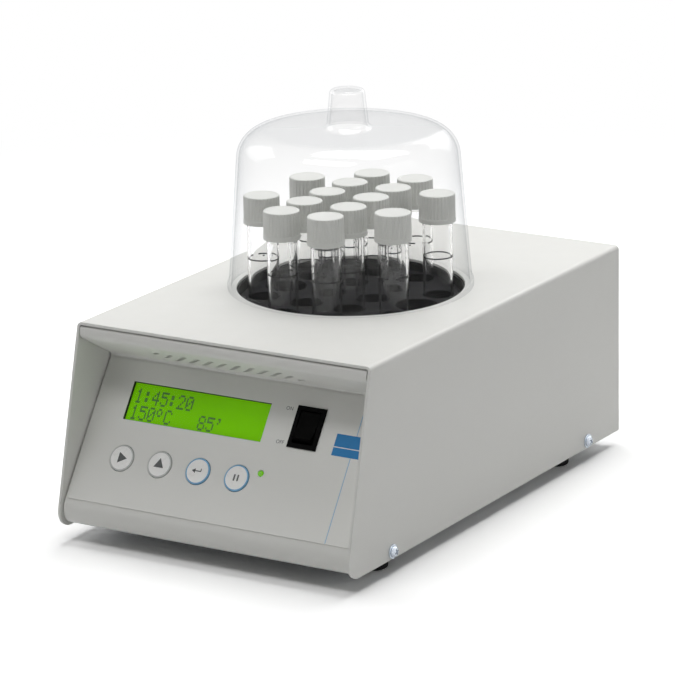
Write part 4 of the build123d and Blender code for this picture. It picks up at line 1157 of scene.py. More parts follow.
@dataclass
class Housing:
    """Folded cover, front panel, base pan, rear panel, feet and their screws."""

    sheet_edge: float = 0.3 * MM
    cover_grip: float = 6.0
    foot_grip: float = 8.8
    panel_grip: float = 5.7
    foot_rounding: float = 0.9
    foot_recess_radius: float = 4.6
    foot_recess_depth: float = 3.6
    foot_nut_seat: float = 5.8

    def build(self) -> None:
        """Builds and dresses the housing."""
        for node in ("cover", "front_panel", "rear_panel"):
            shell = refined(node, self.sheet_edge)
            dressed(shell, Finishes.PAINT, "housing", (node,))
        pan = refined("base_pan", self.sheet_edge / 2)
        dressed(pan, Finishes.PLATED, "housing", ("base_pan",))
        self.build_feet()
        self.build_cover_screws()
        self.build_panel_screws()

    def spots(self, node: str) -> list[Vector]:
        """Finds the separate solids of a CAD node.

        Args:
            node: The CAD node's name.

        Returns:
            The middle of each solid's box, from the front left on.
        """
        loose = refined(node, 0.0)
        with editing(loose):
            bpy.ops.mesh.separate(type="LOOSE")
        solids = [piece for piece in bpy.context.scene.objects if piece.name.startswith(loose.name)]
        middles = []
        for solid in solids:
            corners = [Vector(corner) for corner in solid.bound_box]
            middles.append((corners[0] + corners[6]) / 2)
            bpy.data.objects.remove(solid)
        return sorted(middles, key=lambda middle: (round(middle.x, 3), round(middle.y, 3)))

    def build_feet(self) -> None:
        """Turns one rubber foot and copies it to each place, with its screw."""
        low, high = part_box("rubber_feet")
        height = (high.z - low.z) / MM
        places = self.spots("rubber_feet")
        top_radius = (high.x - places[-1].x) / MM
        sole = top_radius - 0.8
        corners = [(1.7, height), (top_radius, height), (sole, 0), (self.foot_recess_radius, 0)]
        corners += [(self.foot_recess_radius, self.foot_recess_depth)]
        corners += [(1.7, self.foot_recess_depth), (1.7, height)]
        outline = rounded(corners, (0.4, self.foot_rounding, 0.4, 0.3, 0.0), 5)
        foot = turned("foot", outline, Vector(), 48)
        screw = CrossScrew().build(self.foot_grip, -self.foot_nut_seat)
        down = Matrix.Rotation(pi, 4, "X")
        for number, place in enumerate(places, start=1):
            ground = Matrix.Translation((place.x, place.y, 0))
            piece = twin(foot, f"foot_{number}", ground)
            dressed(piece, Finishes.RUBBER, "housing", ("rubber_feet",))
            seat = Matrix.Translation((place.x, place.y, self.foot_recess_depth * MM))
            fixing = twin(screw, f"foot_screw_{number}", seat @ down)
            dressed(fixing, Finishes.ZINC, "housing", ("foot_screws",))
        bpy.data.objects.remove(foot)
        bpy.data.objects.remove(screw)

    def build_cover_screws(self) -> None:
        """Makes one cover screw and copies it to both cheeks."""
        screw = CrossScrew().build(self.cover_grip, -3.0, washer=True)
        cover_low, cover_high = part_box("cover")
        for number, place in enumerate(self.spots("cover_screws"), start=1):
            side = 1 if place.x > 0 else -1
            wall = cover_high.x if side > 0 else cover_low.x
            outwards = Matrix.Rotation(side * pi / 2, 4, "Y")
            twist = Matrix.Rotation(radians(20 + 31 * number), 4, "Z")
            seat = Matrix.Translation((wall, place.y, place.z))
            piece = twin(screw, f"cover_screw_{number}", seat @ outwards @ twist)
            dressed(piece, Finishes.ZINC, "housing", ("cover_screws",))
        bpy.data.objects.remove(screw)

    def build_panel_screws(self) -> None:
        """Makes the screws of the rear panel and of the front panel's flange."""
        screw = CrossScrew().build(self.panel_grip, -2.7)
        rear_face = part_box("rear_panel")[1].y
        pan_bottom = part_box("base_pan")[0].z
        for number, place in enumerate(self.spots("panel_screws"), start=1):
            behind = place.y > 0
            turn = Matrix.Rotation(-pi / 2, 4, "X") if behind else Matrix.Rotation(pi, 4, "X")
            seat = (place.x, rear_face, place.z) if behind else (place.x, place.y, pan_bottom)
            twist = Matrix.Rotation(radians(17 * number), 4, "Z")
            piece = twin(
                screw, f"panel_screw_{number}", Matrix.Translation(seat) @ turn @ twist
            )
            dressed(piece, Finishes.ZINC, "housing", ("panel_screws",))
        bpy.data.objects.remove(screw)


# --- Control panel ---------------------------------------------------------------------------


class Mark(Enum):
    """Plain pictograms that a key can carry."""

    RIGHT = "right"
    UP = "up"
    RETURN = "return"
    RUN = "run"


GLYPHS = {
    "0": (".###.", "#...#", "#..##", "#.#.#", "##..#", "#...#", ".###."),
    "1": ("..#..", ".##..", "..#..", "..#..", "..#..", "..#..", ".###."),
    "2": (".###.", "#...#", "....#", "...#.", "..#..", ".#...", "#####"),
    "4": ("...#.", "..##.", ".#.#.", "#..#.", "#####", "...#.", "...#."),
    "5": ("#####", "#....", "####.", "....#", "....#", "#...#", ".###."),
    "8": (".###.", "#...#", "#...#", ".###.", "#...#", "#...#", ".###."),
    ":": (".....", ".##..", ".##..", ".....", ".##..", ".##..", "....."),
    "o": (".##..", "#..#.", "#..#.", ".##..", ".....", ".....", "....."),
    "C": (".###.", "#...#", "#....", "#....", "#....", "#...#", ".###."),
    "'": (".##..", "..#..", ".#...", ".....", ".....", ".....", "....."),
    " ": (".....",) * 7,
}


@dataclass
class ControlPanel:
    """Keypad film with its prints, the display, the keys, the lamp and the power switch.

    Places on the panel are in millimetres, across from the middle and down from the crease.
    """

    slope: float = radians(55.2)
    film_top: float = 1.8
    film_thickness: float = 0.5
    print_rise: float = 0.02
    keys: tuple[tuple[str, Mark], ...] = (
        ("key_right", Mark.RIGHT),
        ("key_up", Mark.UP),
        ("key_enter", Mark.RETURN),
        ("key_start", Mark.RUN),
    )
    disc_inset: float = 0.015
    ring_width: float = 0.8
    mark_size: float = 3.4
    lines: tuple[str, str] = ("1:45:20", "150oC   85'")
    first_dot: tuple[float, float] = (-63.6, 16.4)
    dot_pitch: tuple[float, float] = (0.86, 1.12)
    cell_pitch: tuple[float, float] = (5.15, 9.0)
    display_depth: float = 1.55
    gasket_wall: float = 0.14
    stripe_across: float = 70.8
    stripe_reach: tuple[float, float] = (4.5, 79.3)
    stripe_width: float = 0.4
    block_across: tuple[float, float] = (59.5, 81.0)
    block_reach: tuple[float, float] = (22.9, 34.4)
    block_band: tuple[float, float] = (29.6, 30.1)
    switch_words: tuple[tuple[str, float, float], ...] = (("ON", 28.6, 14.1), ("OFF", 28.7, 32.1))
    word_height: float = 2.0
    frame_size: tuple[float, float, float] = (97.0, 26.0, 6.4)
    module_board: tuple[float, float, float] = (100.0, 36.0, 1.6)
    board_size: tuple[float, float, float] = (111.5, 69.0, 1.6)
    board_depth: float = 15.0
    contact_height: float = 7.8
    pin_pitch: float = 2.54

    def __post_init__(self) -> None:
        """Finds the panel's plane from the film's box in the frame."""
        low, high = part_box("keypad_overlay")
        out = Vector((0, -sin(self.slope), cos(self.slope)))
        up = Vector((0, cos(self.slope), sin(self.slope)))
        crease_y = high.y + self.film_top * MM * up.y
        crease_z = high.z + self.film_top * MM * up.z - self.film_thickness * MM * out.z
        axes = Matrix((Vector((1, 0, 0)), up, out)).transposed().to_4x4()
        self.plane = Matrix.Translation((0, crease_y, crease_z)) @ axes

    def build(self) -> None:
        """Builds and dresses everything on the sloping panel."""
        film = refined("keypad_overlay", 0.12 * MM)
        dressed(film, Finishes.FILM, "housing", ("keypad_overlay",))
        self.build_keys()
        self.build_display()
        self.build_lamp()
        self.build_switch()
        self.print_film()
        self.build_display_module()
        self.build_board()

    def on_panel(self, piece: Object, across: float, down: float, rise: float) -> Object:
        """Lays a piece made flat at the origin on the panel.

        Args:
            piece: The piece, its face towards +Z.
            across: Millimetres from the panel's middle.
            down: Millimetres down from the crease.
            rise: Millimetres above the sheet.

        Returns:
            The piece, in its place.
        """
        spot = Matrix.Translation(Vector((across, -down, rise)) * MM)
        return placed(piece, self.plane @ spot)

    def where(self, node: str) -> Vector:
        """Finds a node on the panel.

        Args:
            node: The CAD node's name.

        Returns:
            Its middle, as across, down and rise in millimetres.
        """
        spot = self.plane.inverted() @ middle_of(node) / MM
        return Vector((spot.x, -spot.y, spot.z))

    def flat_bar(self, name: str, width: float, height: float) -> Object:
        """Adds a printed rectangle round the origin.

        Args:
            name: The new piece's name.
            width: Its width in millimetres.
            height: Its height in millimetres.

        Returns:
            The rectangle.
        """
        bar = primitive(bpy.ops.mesh.primitive_plane_add, name, size=MM)
        with editing(bar):
            bpy.ops.transform.resize(value=(width, height, 1))
            bpy.ops.mesh.bevel(offset=0.08 * MM, segments=2, affect="VERTICES")
        return bar

    def arrow_head(self, name: str, size: float, heading: float) -> Object:
        """Adds a printed triangle round the origin.

        Args:
            name: The new piece's name.
            size: Its outer radius in millimetres.
            heading: The way it points, in degrees from across.

        Returns:
            The triangle.
        """
        head = primitive(
            bpy.ops.mesh.primitive_circle_add,
            name,
            vertices=3,
            radius=size * MM,
            fill_type="NGON",
            rotation=(0, 0, radians(heading - 90)),
        )
        with editing(head):
            bpy.ops.mesh.bevel(offset=0.12 * MM, segments=2, affect="VERTICES")
        return head

    def mark(self, name: str, kind: Mark) -> Object:
        """Draws one key's pictogram round the origin.

        Args:
            name: The new piece's name.
            kind: Which pictogram.

        Returns:
            The pictogram.
        """
        size = self.mark_size
        if kind in (Mark.RIGHT, Mark.UP):
            return self.arrow_head(name, size, 0 if kind is Mark.RIGHT else 90)
        if kind is Mark.RUN:
            bars = [self.flat_bar(f"{name}_{side}", size / 3.6, size) for side in (-1, 1)]
            for side, bar in zip((-1, 1), bars):
                bar.data.transform(Matrix.Translation((side * size / 3.2 * MM, 0, 0)))
            return joined(bars, name)
        shaft = self.flat_bar(name, 1.3 * size, size / 6)
        post = self.flat_bar(f"{name}_post", size / 6, size / 2)
        post.data.transform(Matrix.Translation(Vector((0.62, 0.2, 0)) * size * MM))
        head = placed(self.arrow_head(f"{name}_head", size * 0.42, 180), Matrix.Identity(4))
        head.data.transform(Matrix.Translation((-0.55 * size * MM, 0, 0)))
        return joined([shaft, post, head], name)

    def build_keys(self) -> None:
        """Shapes each key as a shallow dome on a stem, with its ring and pictogram."""
        for node, kind in self.keys:
            low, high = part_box(node)
            across = self.where(node).x
            radius = (high.x - low.x) / 2 / MM
            local = [self.plane.inverted() @ v.co / MM for v in frame["nodes"][node].data.vertices]
            top = max(point.z for point in local)
            foot = min(point.z for point in local)
            down = -sum(point.y for point in local) / len(local)
            skirt, edge = top - 2.4, top - 0.25
            disc = radius - self.disc_inset
            corners = [(0, foot), (2.5, foot), (2.5, skirt), (disc, skirt)]
            corners += [(disc, edge - self.disc_inset), (radius * 0.6, top), (0, top)]
            outline = rounded(corners, (0.3, 0.2, 0.2, 0.35, 6.0), 6)
            key = self.on_panel(turned(node + "_disc", outline, Vector(), 64), across, down, 0)
            dressed(key, Finishes.KEY, node, (node,))
            accent = Finishes.PALE_INK if kind in (Mark.RIGHT, Mark.UP) else Finishes.PALE_BLUE_INK
            inner = radius - self.ring_width
            rise = (top - edge) * (radius - inner) / (radius * 0.4)
            corners = [(inner, skirt), (radius, skirt), (radius, edge), (inner, edge + rise)]
            outline = rounded(corners, (0.2, 0.35), 6)
            ring = turned(f"{node}_ring", outline, Vector(), 64)
            self.on_panel(ring, across, down, 0)
            dressed(ring, accent, node)
            pictogram = self.mark(f"{node}_mark", kind)
            self.on_panel(pictogram, across, down, top + self.print_rise)
            dressed(pictogram, Finishes.GREY_INK, node)

    def build_display(self) -> None:
        """Builds the lit face, its characters, the dark gasket that paints the recess's shade, and the
        clear window.
        """
        window = refined("display_window", 0.1 * MM)
        dressed(window, Finishes.LENS, "housing", ("display_window",))
        low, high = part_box("display_window")
        spot = self.where("display_window")
        width = (high.x - low.x) / MM
        height = (high.z - low.z) / MM / sin(self.slope) - 1.4
        face = self.flat_bar("display_face", width + 0.2, height + 0.2)
        self.on_panel(face, spot.x, spot.y, -self.display_depth)
        dressed(face, Finishes.DISPLAY, "housing")
        self.build_shade_gasket(spot, width, height)
        self.write_characters()

    def build_shade_gasket(self, spot: Vector, width: float, height: float) -> None:
        """Lines the window's opening with a thin dark frame, painted shade for the recess's inner
        walls.

        Args:
            spot: The window's middle on the panel.
            width: The window's width in millimetres.
            height: The window's height in millimetres.
        """
        # A dark frame stands in for the shade on the recess's inner walls.
        gasket = self.flat_bar("display_gasket", width + 0.28, height + 0.28)
        with editing(gasket):
            bpy.ops.mesh.select_mode(type="FACE")
            bpy.ops.mesh.select_all(action="SELECT")
            bpy.ops.mesh.inset(thickness=self.gasket_wall * MM)
            bpy.ops.mesh.delete(type="FACE")
        modified(gasket, "SOLIDIFY", thickness=1.6 * MM, offset=-1.0)
        self.on_panel(gasket, spot.x, spot.y, 0.2)
        dressed(gasket, Finishes.SHADE_GASKET, "housing")

    def write_characters(self) -> None:
        """Sets the display's dots, each a small square copied from one."""
        seed = self.flat_bar("dot", self.dot_pitch[0] * 0.97, self.dot_pitch[1] * 0.97)
        dots = []
        for row, text in enumerate(self.lines):
            for column, letter in enumerate(text):
                for line, pattern in enumerate(GLYPHS[letter]):
                    for spot, state in enumerate(pattern):
                        if state == "#":
                            across = column * self.cell_pitch[0] + spot * self.dot_pitch[0]
                            down = row * self.cell_pitch[1] + line * self.dot_pitch[1]
                            shift = Matrix.Translation(Vector((across, -down, 0)) * MM)
                            dots.append(twin(seed, f"dot_{len(dots)}", shift))
        bpy.data.objects.remove(seed)
        characters = joined(dots, "display_characters")
        across, down = self.first_dot
        self.on_panel(characters, across, down, self.print_rise - self.display_depth)
        dressed(characters, Finishes.CHARACTER, "housing")

    def build_lamp(self) -> None:
        """Turns the status lamp's body and rounded lens."""
        spot = self.where("status_led")
        local = [
            self.plane.inverted() @ v.co / MM for v in frame["nodes"]["status_led"].data.vertices
        ]
        top = max(point.z for point in local)
        foot = min(point.z for point in local)
        corners = [(0, foot), (1.75, foot), (1.75, top - 4.5), (1.5, top - 4.5), (1.5, top), (0, top)]
        outline = rounded(corners, (0.1, 0.1, 0.0, 1.3), 8)
        lamp = turned("status_lens", outline, Vector(), 32)
        self.on_panel(lamp, spot.x, spot.y, 0)
        dressed(lamp, Finishes.LAMP, "housing", ("status_led",))

    def build_switch(self) -> None:
        """Eases the switch's edges and prints the words beside it."""
        housing = refined("switch_housing", 0.15 * MM)
        dressed(housing, Finishes.SWITCH, "housing", ("switch_housing",))
        rocker = refined("rocker", 0.25 * MM, 3)
        dressed(rocker, Finishes.SWITCH, "rocker", ("rocker",))
        for word, across, down in self.switch_words:
            name = f"word_{word.lower()}"
            text = primitive(bpy.ops.object.text_add, name)
            text.data.body = word
            text.data.size = self.word_height * 1.35 * MM
            text.data.align_x = "CENTER"
            text.data.align_y = "CENTER"
            bpy.ops.object.convert(target="MESH")
            text = bpy.context.object
            self.on_panel(text, across, down, self.film_thickness + self.print_rise)
            dressed(text, Finishes.GREY_INK, "housing")

    def print_film(self) -> None:
        """Prints the blue stripe and the plain blue block."""
        rise = self.film_thickness + self.print_rise
        top, bottom = self.stripe_reach
        gap_top, gap_bottom = self.block_reach
        for name, start, end in (("upper", top, gap_top), ("lower", gap_bottom, bottom)):
            stripe = self.flat_bar(f"stripe_{name}", self.stripe_width, end - start)
            self.on_panel(stripe, self.stripe_across, (start + end) / 2, rise)
            dressed(stripe, Finishes.PALE_BLUE_INK, "housing")
        left, right = self.block_across
        band_top, band_bottom = self.block_band
        for name, start, end in (("upper", gap_top, band_top), ("lower", band_bottom, gap_bottom)):
            block = self.flat_bar(f"blue_block_{name}", right - left, end - start)
            self.on_panel(block, (left + right) / 2, (start + end) / 2, rise)
            dressed(block, Finishes.BLUE_INK, "housing")

    def build_display_module(self) -> None:
        """Builds the display's metal frame with its bent tabs, and the board behind it."""
        low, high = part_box("display_window")
        spot = self.where("display_window")
        width, height, depth = self.frame_size
        opening = ((high.x - low.x) / MM + 2, (high.z - low.z) / MM / sin(self.slope))
        bezel = slab("module_frame", (width, height, depth - 0.4), (0, 0, 0), 0.8)
        cut = slab("opening", (*opening, 3.0), (0, 0, depth - 2.0), 0.4, 0.05)
        modified(bezel, "BOOLEAN", object=cut, operation="DIFFERENCE", solver="EXACT")
        bpy.data.objects.remove(cut)
        tab = row(slab("tab", (5.0, 1.0, 0.4), (0, height / 2, -0.2), 0.4, 0.1), 5, (20.0, 0, 0))
        other = twin(tab, "tabs", Matrix.Rotation(pi, 4, "Z"))
        metal = joined([bezel, tab, other], "module_frame")
        back = -1.8 - depth
        self.on_panel(metal, spot.x, spot.y, back)
        dressed(metal, Finishes.CHIP, "housing", ("display_module",))
        board = slab("module_board", self.module_board, (0, 0, -self.module_board[2]), 1.0)
        pads = row(slab("pad", (1.4, 1.4, 0.3), (0, -16.4, -1.8), 0.3, 0.05), 16, (2.54, 0, 0))
        for piece, finish in ((board, Finishes.BOARD), (pads, Finishes.BRASS)):
            self.on_panel(piece, spot.x, spot.y, back)
            dressed(piece, finish, "housing", ("display_module",))

    def build_board(self) -> None:
        """Builds the control board with its push contacts, chip, ribbon header and buzzer."""
        width, height, thick = self.board_size
        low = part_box("control_board")[0]
        across = low.x / MM + width / 2
        down = 37.5
        board = slab("board", self.board_size, (0, 0, -thick), 1.5)
        chip = slab("chip", (28.0, 7.4, 2.8), (0, 0, -thick - 3.2), 0.3, 0.3)
        header = slab("header", (18.0, 6.0, 6.6), (width / 4, -height / 4, -thick - 6.6), 0.4)
        legs = row(slab("leg", (0.5, 9.0, 1.9), (0, 0, -thick - 1.9), 0.1, 0.05), 10, (2.54, 0, 0))
        pins = row(
            slab("pin", (0.6, 3.1, 0.4), (width / 4, -height / 4, -thick - 7.0), 0.1, 0.05),
            6,
            (self.pin_pitch, 0, 0),
        )
        outline = rounded(
            [(0, -8.0), (1.2, -8.0), (1.2, -7.0), (1.6, -7.0), (1.6, -8.0), (6, -8.0), (6, 0), (0, 0)],
            (0.0, 0.0, 0.0, 0.0, 0.7, 0.2),
        )
        buzzer = turned("buzzer", outline, Vector((-width / 4, -height / 4, -thick)) * MM, 36)
        pieces = (
            (board, Finishes.BOARD),
            (joined([chip, header, buzzer], "board_chips"), Finishes.CHIP),
            (joined([legs, pins], "board_pins"), Finishes.PLATED),
        )
        for piece, finish in pieces:
            self.on_panel(piece, across, down, -self.board_depth)
            dressed(piece, finish, "housing", ("control_board",))
        button = [(0, 0), (1.7, 0), (1.7, self.contact_height + 1.2), (0, self.contact_height + 1.2)]
        for node, _ in self.keys:
            body = slab("contact", (6.2, 6.2, self.contact_height), (0, 0, 0), 0.5)
            knob = turned("button", rounded(button, (0.0, 0.4)), Vector(), 24)
            contact = joined([body, knob], f"{node}_contact")
            spot = sum((v.co for v in frame["nodes"][node].data.vertices), Vector())
            local = self.plane.inverted() @ (spot / len(frame["nodes"][node].data.vertices)) / MM
            self.on_panel(contact, local.x, -local.y, -self.board_depth)
            dressed(contact, Finishes.CHIP, "housing", ("control_board",))


# --- Heating unit ----------------------------------------------------------------------------


@dataclass
class HeatingUnit:
    """Block, collar, insulation, heater, posts, cut-out and probe."""

    edge: float = 0.25 * MM

    def build(self) -> None:
        """Builds and dresses the heating unit."""
        finishes = {
            "heating_block": (Finishes.BLOCK, "block_black"),
            "block_collar": (Finishes.COLLAR, "collar_black"),
            "heater_plate": (Finishes.ALUMINIUM, "heater_metal"),
            "block_posts": (Finishes.PLATED, "plated_steel"),
            "thermal_cutout": (Finishes.ALUMINIUM, "heater_metal"),
            "temperature_probe": (Finishes.PLATED, "plated_steel"),
            "insulation_jacket": (Finishes.WOOL, "mineral_wool"),
        }
        for node, (finish, slot) in finishes.items():
            piece = refined(node, self.edge)
            dressed(piece, finish, "housing", (node,))


# --- Vials -----------------------------------------------------------------------------------


@dataclass
class Vial:
    """One glass tube with its printed ring and its ribbed cap, made once and copied."""

    count: int = 14
    wall: float = 1.2
    neck_radius: float = 7.1
    neck_length: float = 13.0
    shoulder: float = 1.6
    thread_rise: float = 0.75
    thread_pitch: float = 3.2
    mark_down: float = 33.8
    mark_height: float = 0.75
    mark_gap: float = 26.0
    cap_skirt: float = 2.2
    cap_step: float = 0.35
    cap_wall: float = 1.2
    cap_lid: float = 1.4
    rib_count: int = 30
    rib_depth: float = 0.42
    rim_radius: float = 0.9

    def build(self) -> None:
        """Builds one vial and copies it into every well."""
        tube = self.blow_tube()
        ring = self.print_ring()
        cap = self.mould_cap()
        for number in range(1, self.count + 1):
            node, cap_node = f"vial_{number:02d}", f"cap_{number:02d}"
            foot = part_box(node)[0].z
            middle = middle_of(node)
            spot = Matrix.Translation((middle.x, middle.y, foot))
            twist = Matrix.Rotation(radians(47 * number % 360), 4, "Z")
            glass = twin(tube, f"{node}_glass", spot @ twist)
            dressed(glass, Finishes.GLASS, node, (node,))
            cap_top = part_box(cap_node)[1].z
            level = Matrix.Translation((middle.x, middle.y, cap_top - self.mark_down * MM))
            mark = twin(ring, f"{node}_ring", level @ twist)
            dressed(mark, Finishes.GLASS_MARK, node)
            seat = Matrix.Translation((middle.x, middle.y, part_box(cap_node)[0].z))
            lid = twin(cap, f"{cap_node}_ribbed", seat @ twist)
            dressed(lid, Finishes.CAP, cap_node, (cap_node,))
        for pattern in (tube, ring, cap):
            bpy.data.objects.remove(pattern)

    def blow_tube(self) -> Object:
        """Turns the glass tube with its round bottom, narrower neck and thread beads."""
        low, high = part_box("vial_01")
        radius = (high.x - low.x) / 2 / MM
        length = (high.z - low.z) / MM
        neck = length - self.neck_length
        corners = [(0, 0), (radius, 0), (radius, neck - self.shoulder), (self.neck_radius, neck)]
        radii = [radius - 0.01, 2.0, 1.0]
        for turn in range(3):
            bead = neck + 3.0 + turn * self.thread_pitch
            corners += [
                (self.neck_radius, bead - 0.8),
                (self.neck_radius + self.thread_rise, bead),
                (self.neck_radius, bead + 0.8),
            ]
            radii += [0.2, 0.5, 0.2]
        inner = self.neck_radius - self.wall
        corners += [(self.neck_radius, length), (inner, length), (inner, neck)]
        radii += [0.5, 0.5, 1.0]
        bore = radius - self.wall
        corners += [(bore, neck - self.shoulder), (bore, self.wall), (0, self.wall)]
        radii += [2.0, bore - 0.01]
        return turned("tube", rounded(corners, radii, 8), Vector(), 56)

    def print_ring(self) -> Object:
        """Turns the dark ring on the glass, with a gap and a short dash in it."""
        low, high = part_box("vial_01")
        radius = (high.x - low.x) / 2 / MM + 0.03
        half = self.mark_height / 2
        band = [Vector((radius, -half)) * MM, Vector((radius, half)) * MM]
        long_line = turned("ring", band, Vector(), 60, radians(360 - self.mark_gap))
        dash = turned("dash", band, Vector(), 4, radians(self.mark_gap / 3))
        dash.data.transform(Matrix.Rotation(radians(-self.mark_gap * 2 / 3), 4, "Z"))
        dash.data.transform(Matrix.Translation((0, 0, -1.1 * MM)))
        return joined([long_line, dash], "ring")

    def mould_cap(self) -> Object:
        """Turns the cap and presses its ribs in between skirt and rim."""
        low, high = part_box("cap_01")
        radius = (high.x - low.x) / 2 / MM
        height = (high.z - low.z) / MM
        body = radius - 0.15
        bore = radius - self.cap_wall
        corners = [(bore, 0), (radius, 0), (radius, self.cap_skirt)]
        corners += [(body, self.cap_skirt + self.cap_step), (body - 0.1, height)]
        corners += [(body - 1.6, height), (body - 1.9, height - 0.15), (0, height - 0.15)]
        corners += [(0, height - self.cap_lid), (bore, height - self.cap_lid), (bore, 0)]
        radii = [0.15, 0.25, 0.15, self.rim_radius, 0.2, 0.2, 0.0, 0.0, 0.4]
        facets_per_rib = 6
        steps = self.rib_count * facets_per_rib
        cap = turned("cap", rounded(corners, radii, 4), Vector(), steps)
        lowest = (self.cap_skirt + self.cap_step) * MM
        highest = (height - self.rim_radius * 0.6) * MM
        with editing(cap):
            bpy.ops.mesh.select_mode(type="EDGE")
            pick_faces(
                cap,
                lambda spot, normal: abs(normal.z) < 0.3
                and lowest < spot.z < highest
                and spot.xy.length > bore * MM + 0.1 * MM,
            )
            bpy.ops.mesh.subdivide(number_cuts=1)
        furrow = 2 * pi / self.rib_count
        for depth, reach in ((self.rib_depth, 0.12), (self.rib_depth * 0.45, 0.28)):
            self.press(cap, furrow, reach, depth, (lowest, highest), bore)
        return cap

    def press(
        self,
        cap: Object,
        furrow: float,
        reach: float,
        depth: float,
        heights: tuple[float, float],
        bore: float,
    ) -> None:
        """Presses the points near each furrow's middle inwards.

        Args:
            cap: The cap being shaped.
            furrow: The angle from one furrow to the next.
            reach: How much of that angle, from the middle each way, is pressed.
            depth: How deep, in millimetres.
            heights: The lowest and highest place that is pressed.
            bore: The cap's inner radius in millimetres.
        """

        def in_furrow(spot: Vector) -> bool:
            """Says whether a point lies in a furrow."""
            share = (atan2(spot.y, spot.x) / furrow) % 1.0
            near = min(share, 1 - share)
            outside = spot.xy.length > (bore + 0.3) * MM
            return outside and near < reach and heights[0] < spot.z < heights[1]

        with editing(cap):
            pick_points(cap, in_furrow)
            share = 1 - depth / 2 / (bore + self.cap_wall)
            bpy.ops.transform.resize(value=(share, share, 1), center_override=(0, 0, 0))


# --- Dome ------------------------------------------------------------------------------------


@dataclass
class Dome:
    """Clear dome: a slightly tapering wall, a flat top, a beaded rim and a hollow knob."""

    wall: float = 1.2
    taper: float = 0.08
    top: float = 84.8
    knob_shortfall: float = 1.6
    shoulder: float = 15.5
    rim_height: float = 3.0
    knob_base: float = 11.15
    knob_top: float = 9.15
    knob_flare: float = 3.2
    knob_edge: float = 2.2
    steps: int = 160

    def build(self) -> None:
        """Turns the dome and dresses it."""
        low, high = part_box("dome")
        rim = (high.x - low.x) / 2 / MM
        height = (high.z - low.z) / MM - self.knob_shortfall
        side = rim - 0.65
        middle = middle_of("dome")
        foot = Vector((middle.x, middle.y, low.z))
        corners = [(side - self.wall, 0), (rim, 0), (rim, self.rim_height)]
        corners += [(side - self.taper * self.rim_height, self.rim_height + 0.6)]
        corners += [(side - self.taper * self.top, self.top), (self.knob_base, self.top)]
        corners += [(self.knob_top, height), (0, height)]
        radii = [0.4, 0.5, 0.4, self.shoulder, self.knob_flare, self.knob_edge, 0.0]
        inner = self.wall
        corners += [(0, height - inner), (self.knob_top - inner, height - inner)]
        corners += [(self.knob_base - inner, self.top - inner)]
        corners += [(side - self.taper * self.top - inner, self.top - inner)]
        corners += [(side - inner, 0)]
        radii += [0.0, self.knob_edge - inner + 0.4, self.knob_flare + inner]
        radii += [self.shoulder - inner]
        shell = turned("dome_shell", rounded(corners, radii, 14), foot, self.steps)
        dressed(shell, Finishes.DOME, "dome", ("dome",))


# --- Power supply ----------------------------------------------------------------------------


@dataclass
class Transformer:
    """Stacked core plates on two feet, with a taped winding on a bobbin."""

    core: tuple[float, float, float] = (48.0, 0.86, 37.0)
    plates: int = 18
    plate_pitch: float = 1.0
    coil: tuple[float, float, float] = (31.0, 33.0, 24.0)
    coil_corner: float = 6.0
    flange: float = 1.4
    foot: tuple[float, float, float] = (62.0, 18.0, 1.2)
    pins: int = 6

    def build(self) -> None:
        """Builds and dresses the transformer where its CAD node stands."""
        low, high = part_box("transformer")
        place = Matrix.Translation(((low.x + high.x) / 2, (low.y + high.y) / 2, low.z))
        plate = slab("plate", self.core, (0, 0, 0), 0.08, 0.06)
        core = row(plate, self.plates, (0, self.plate_pitch, 0))
        strap = slab("strap", self.foot, (0, 0, 0), 2.0, 0.2)
        width, depth, height = self.coil
        under = (self.core[2] - height) / 2
        winding = slab(
            "winding",
            (width - 1.2, depth - 1.2, height - 2 * self.flange),
            (0, 0, under + self.flange),
            self.coil_corner - 0.6,
        )
        flange = slab("flange", (width, depth, self.flange), (0, 0, under), self.coil_corner)
        lid = twin(flange, "lid", Matrix.Translation((0, 0, (height - self.flange) * MM)))
        pin = slab("pin", (0.8, 0.5, 5.0), (0, 1 - depth / 2, under + height - 1), 0.1, 0.05)
        pins = row(pin, self.pins, (4.0, 0, 0))
        pieces = (
            (joined([core, strap], "transformer_core"), Finishes.CORE),
            (winding, Finishes.COIL),
            (joined([flange, lid], "transformer_bobbin"), Finishes.BOBBIN),
            (pins, Finishes.PLATED),
        )
        for piece, finish in pieces:
            piece.name = piece.name if "transformer" in piece.name else f"transformer_{piece.name}"
            placed(piece, place)
            dressed(piece, finish, "housing", ("transformer",))


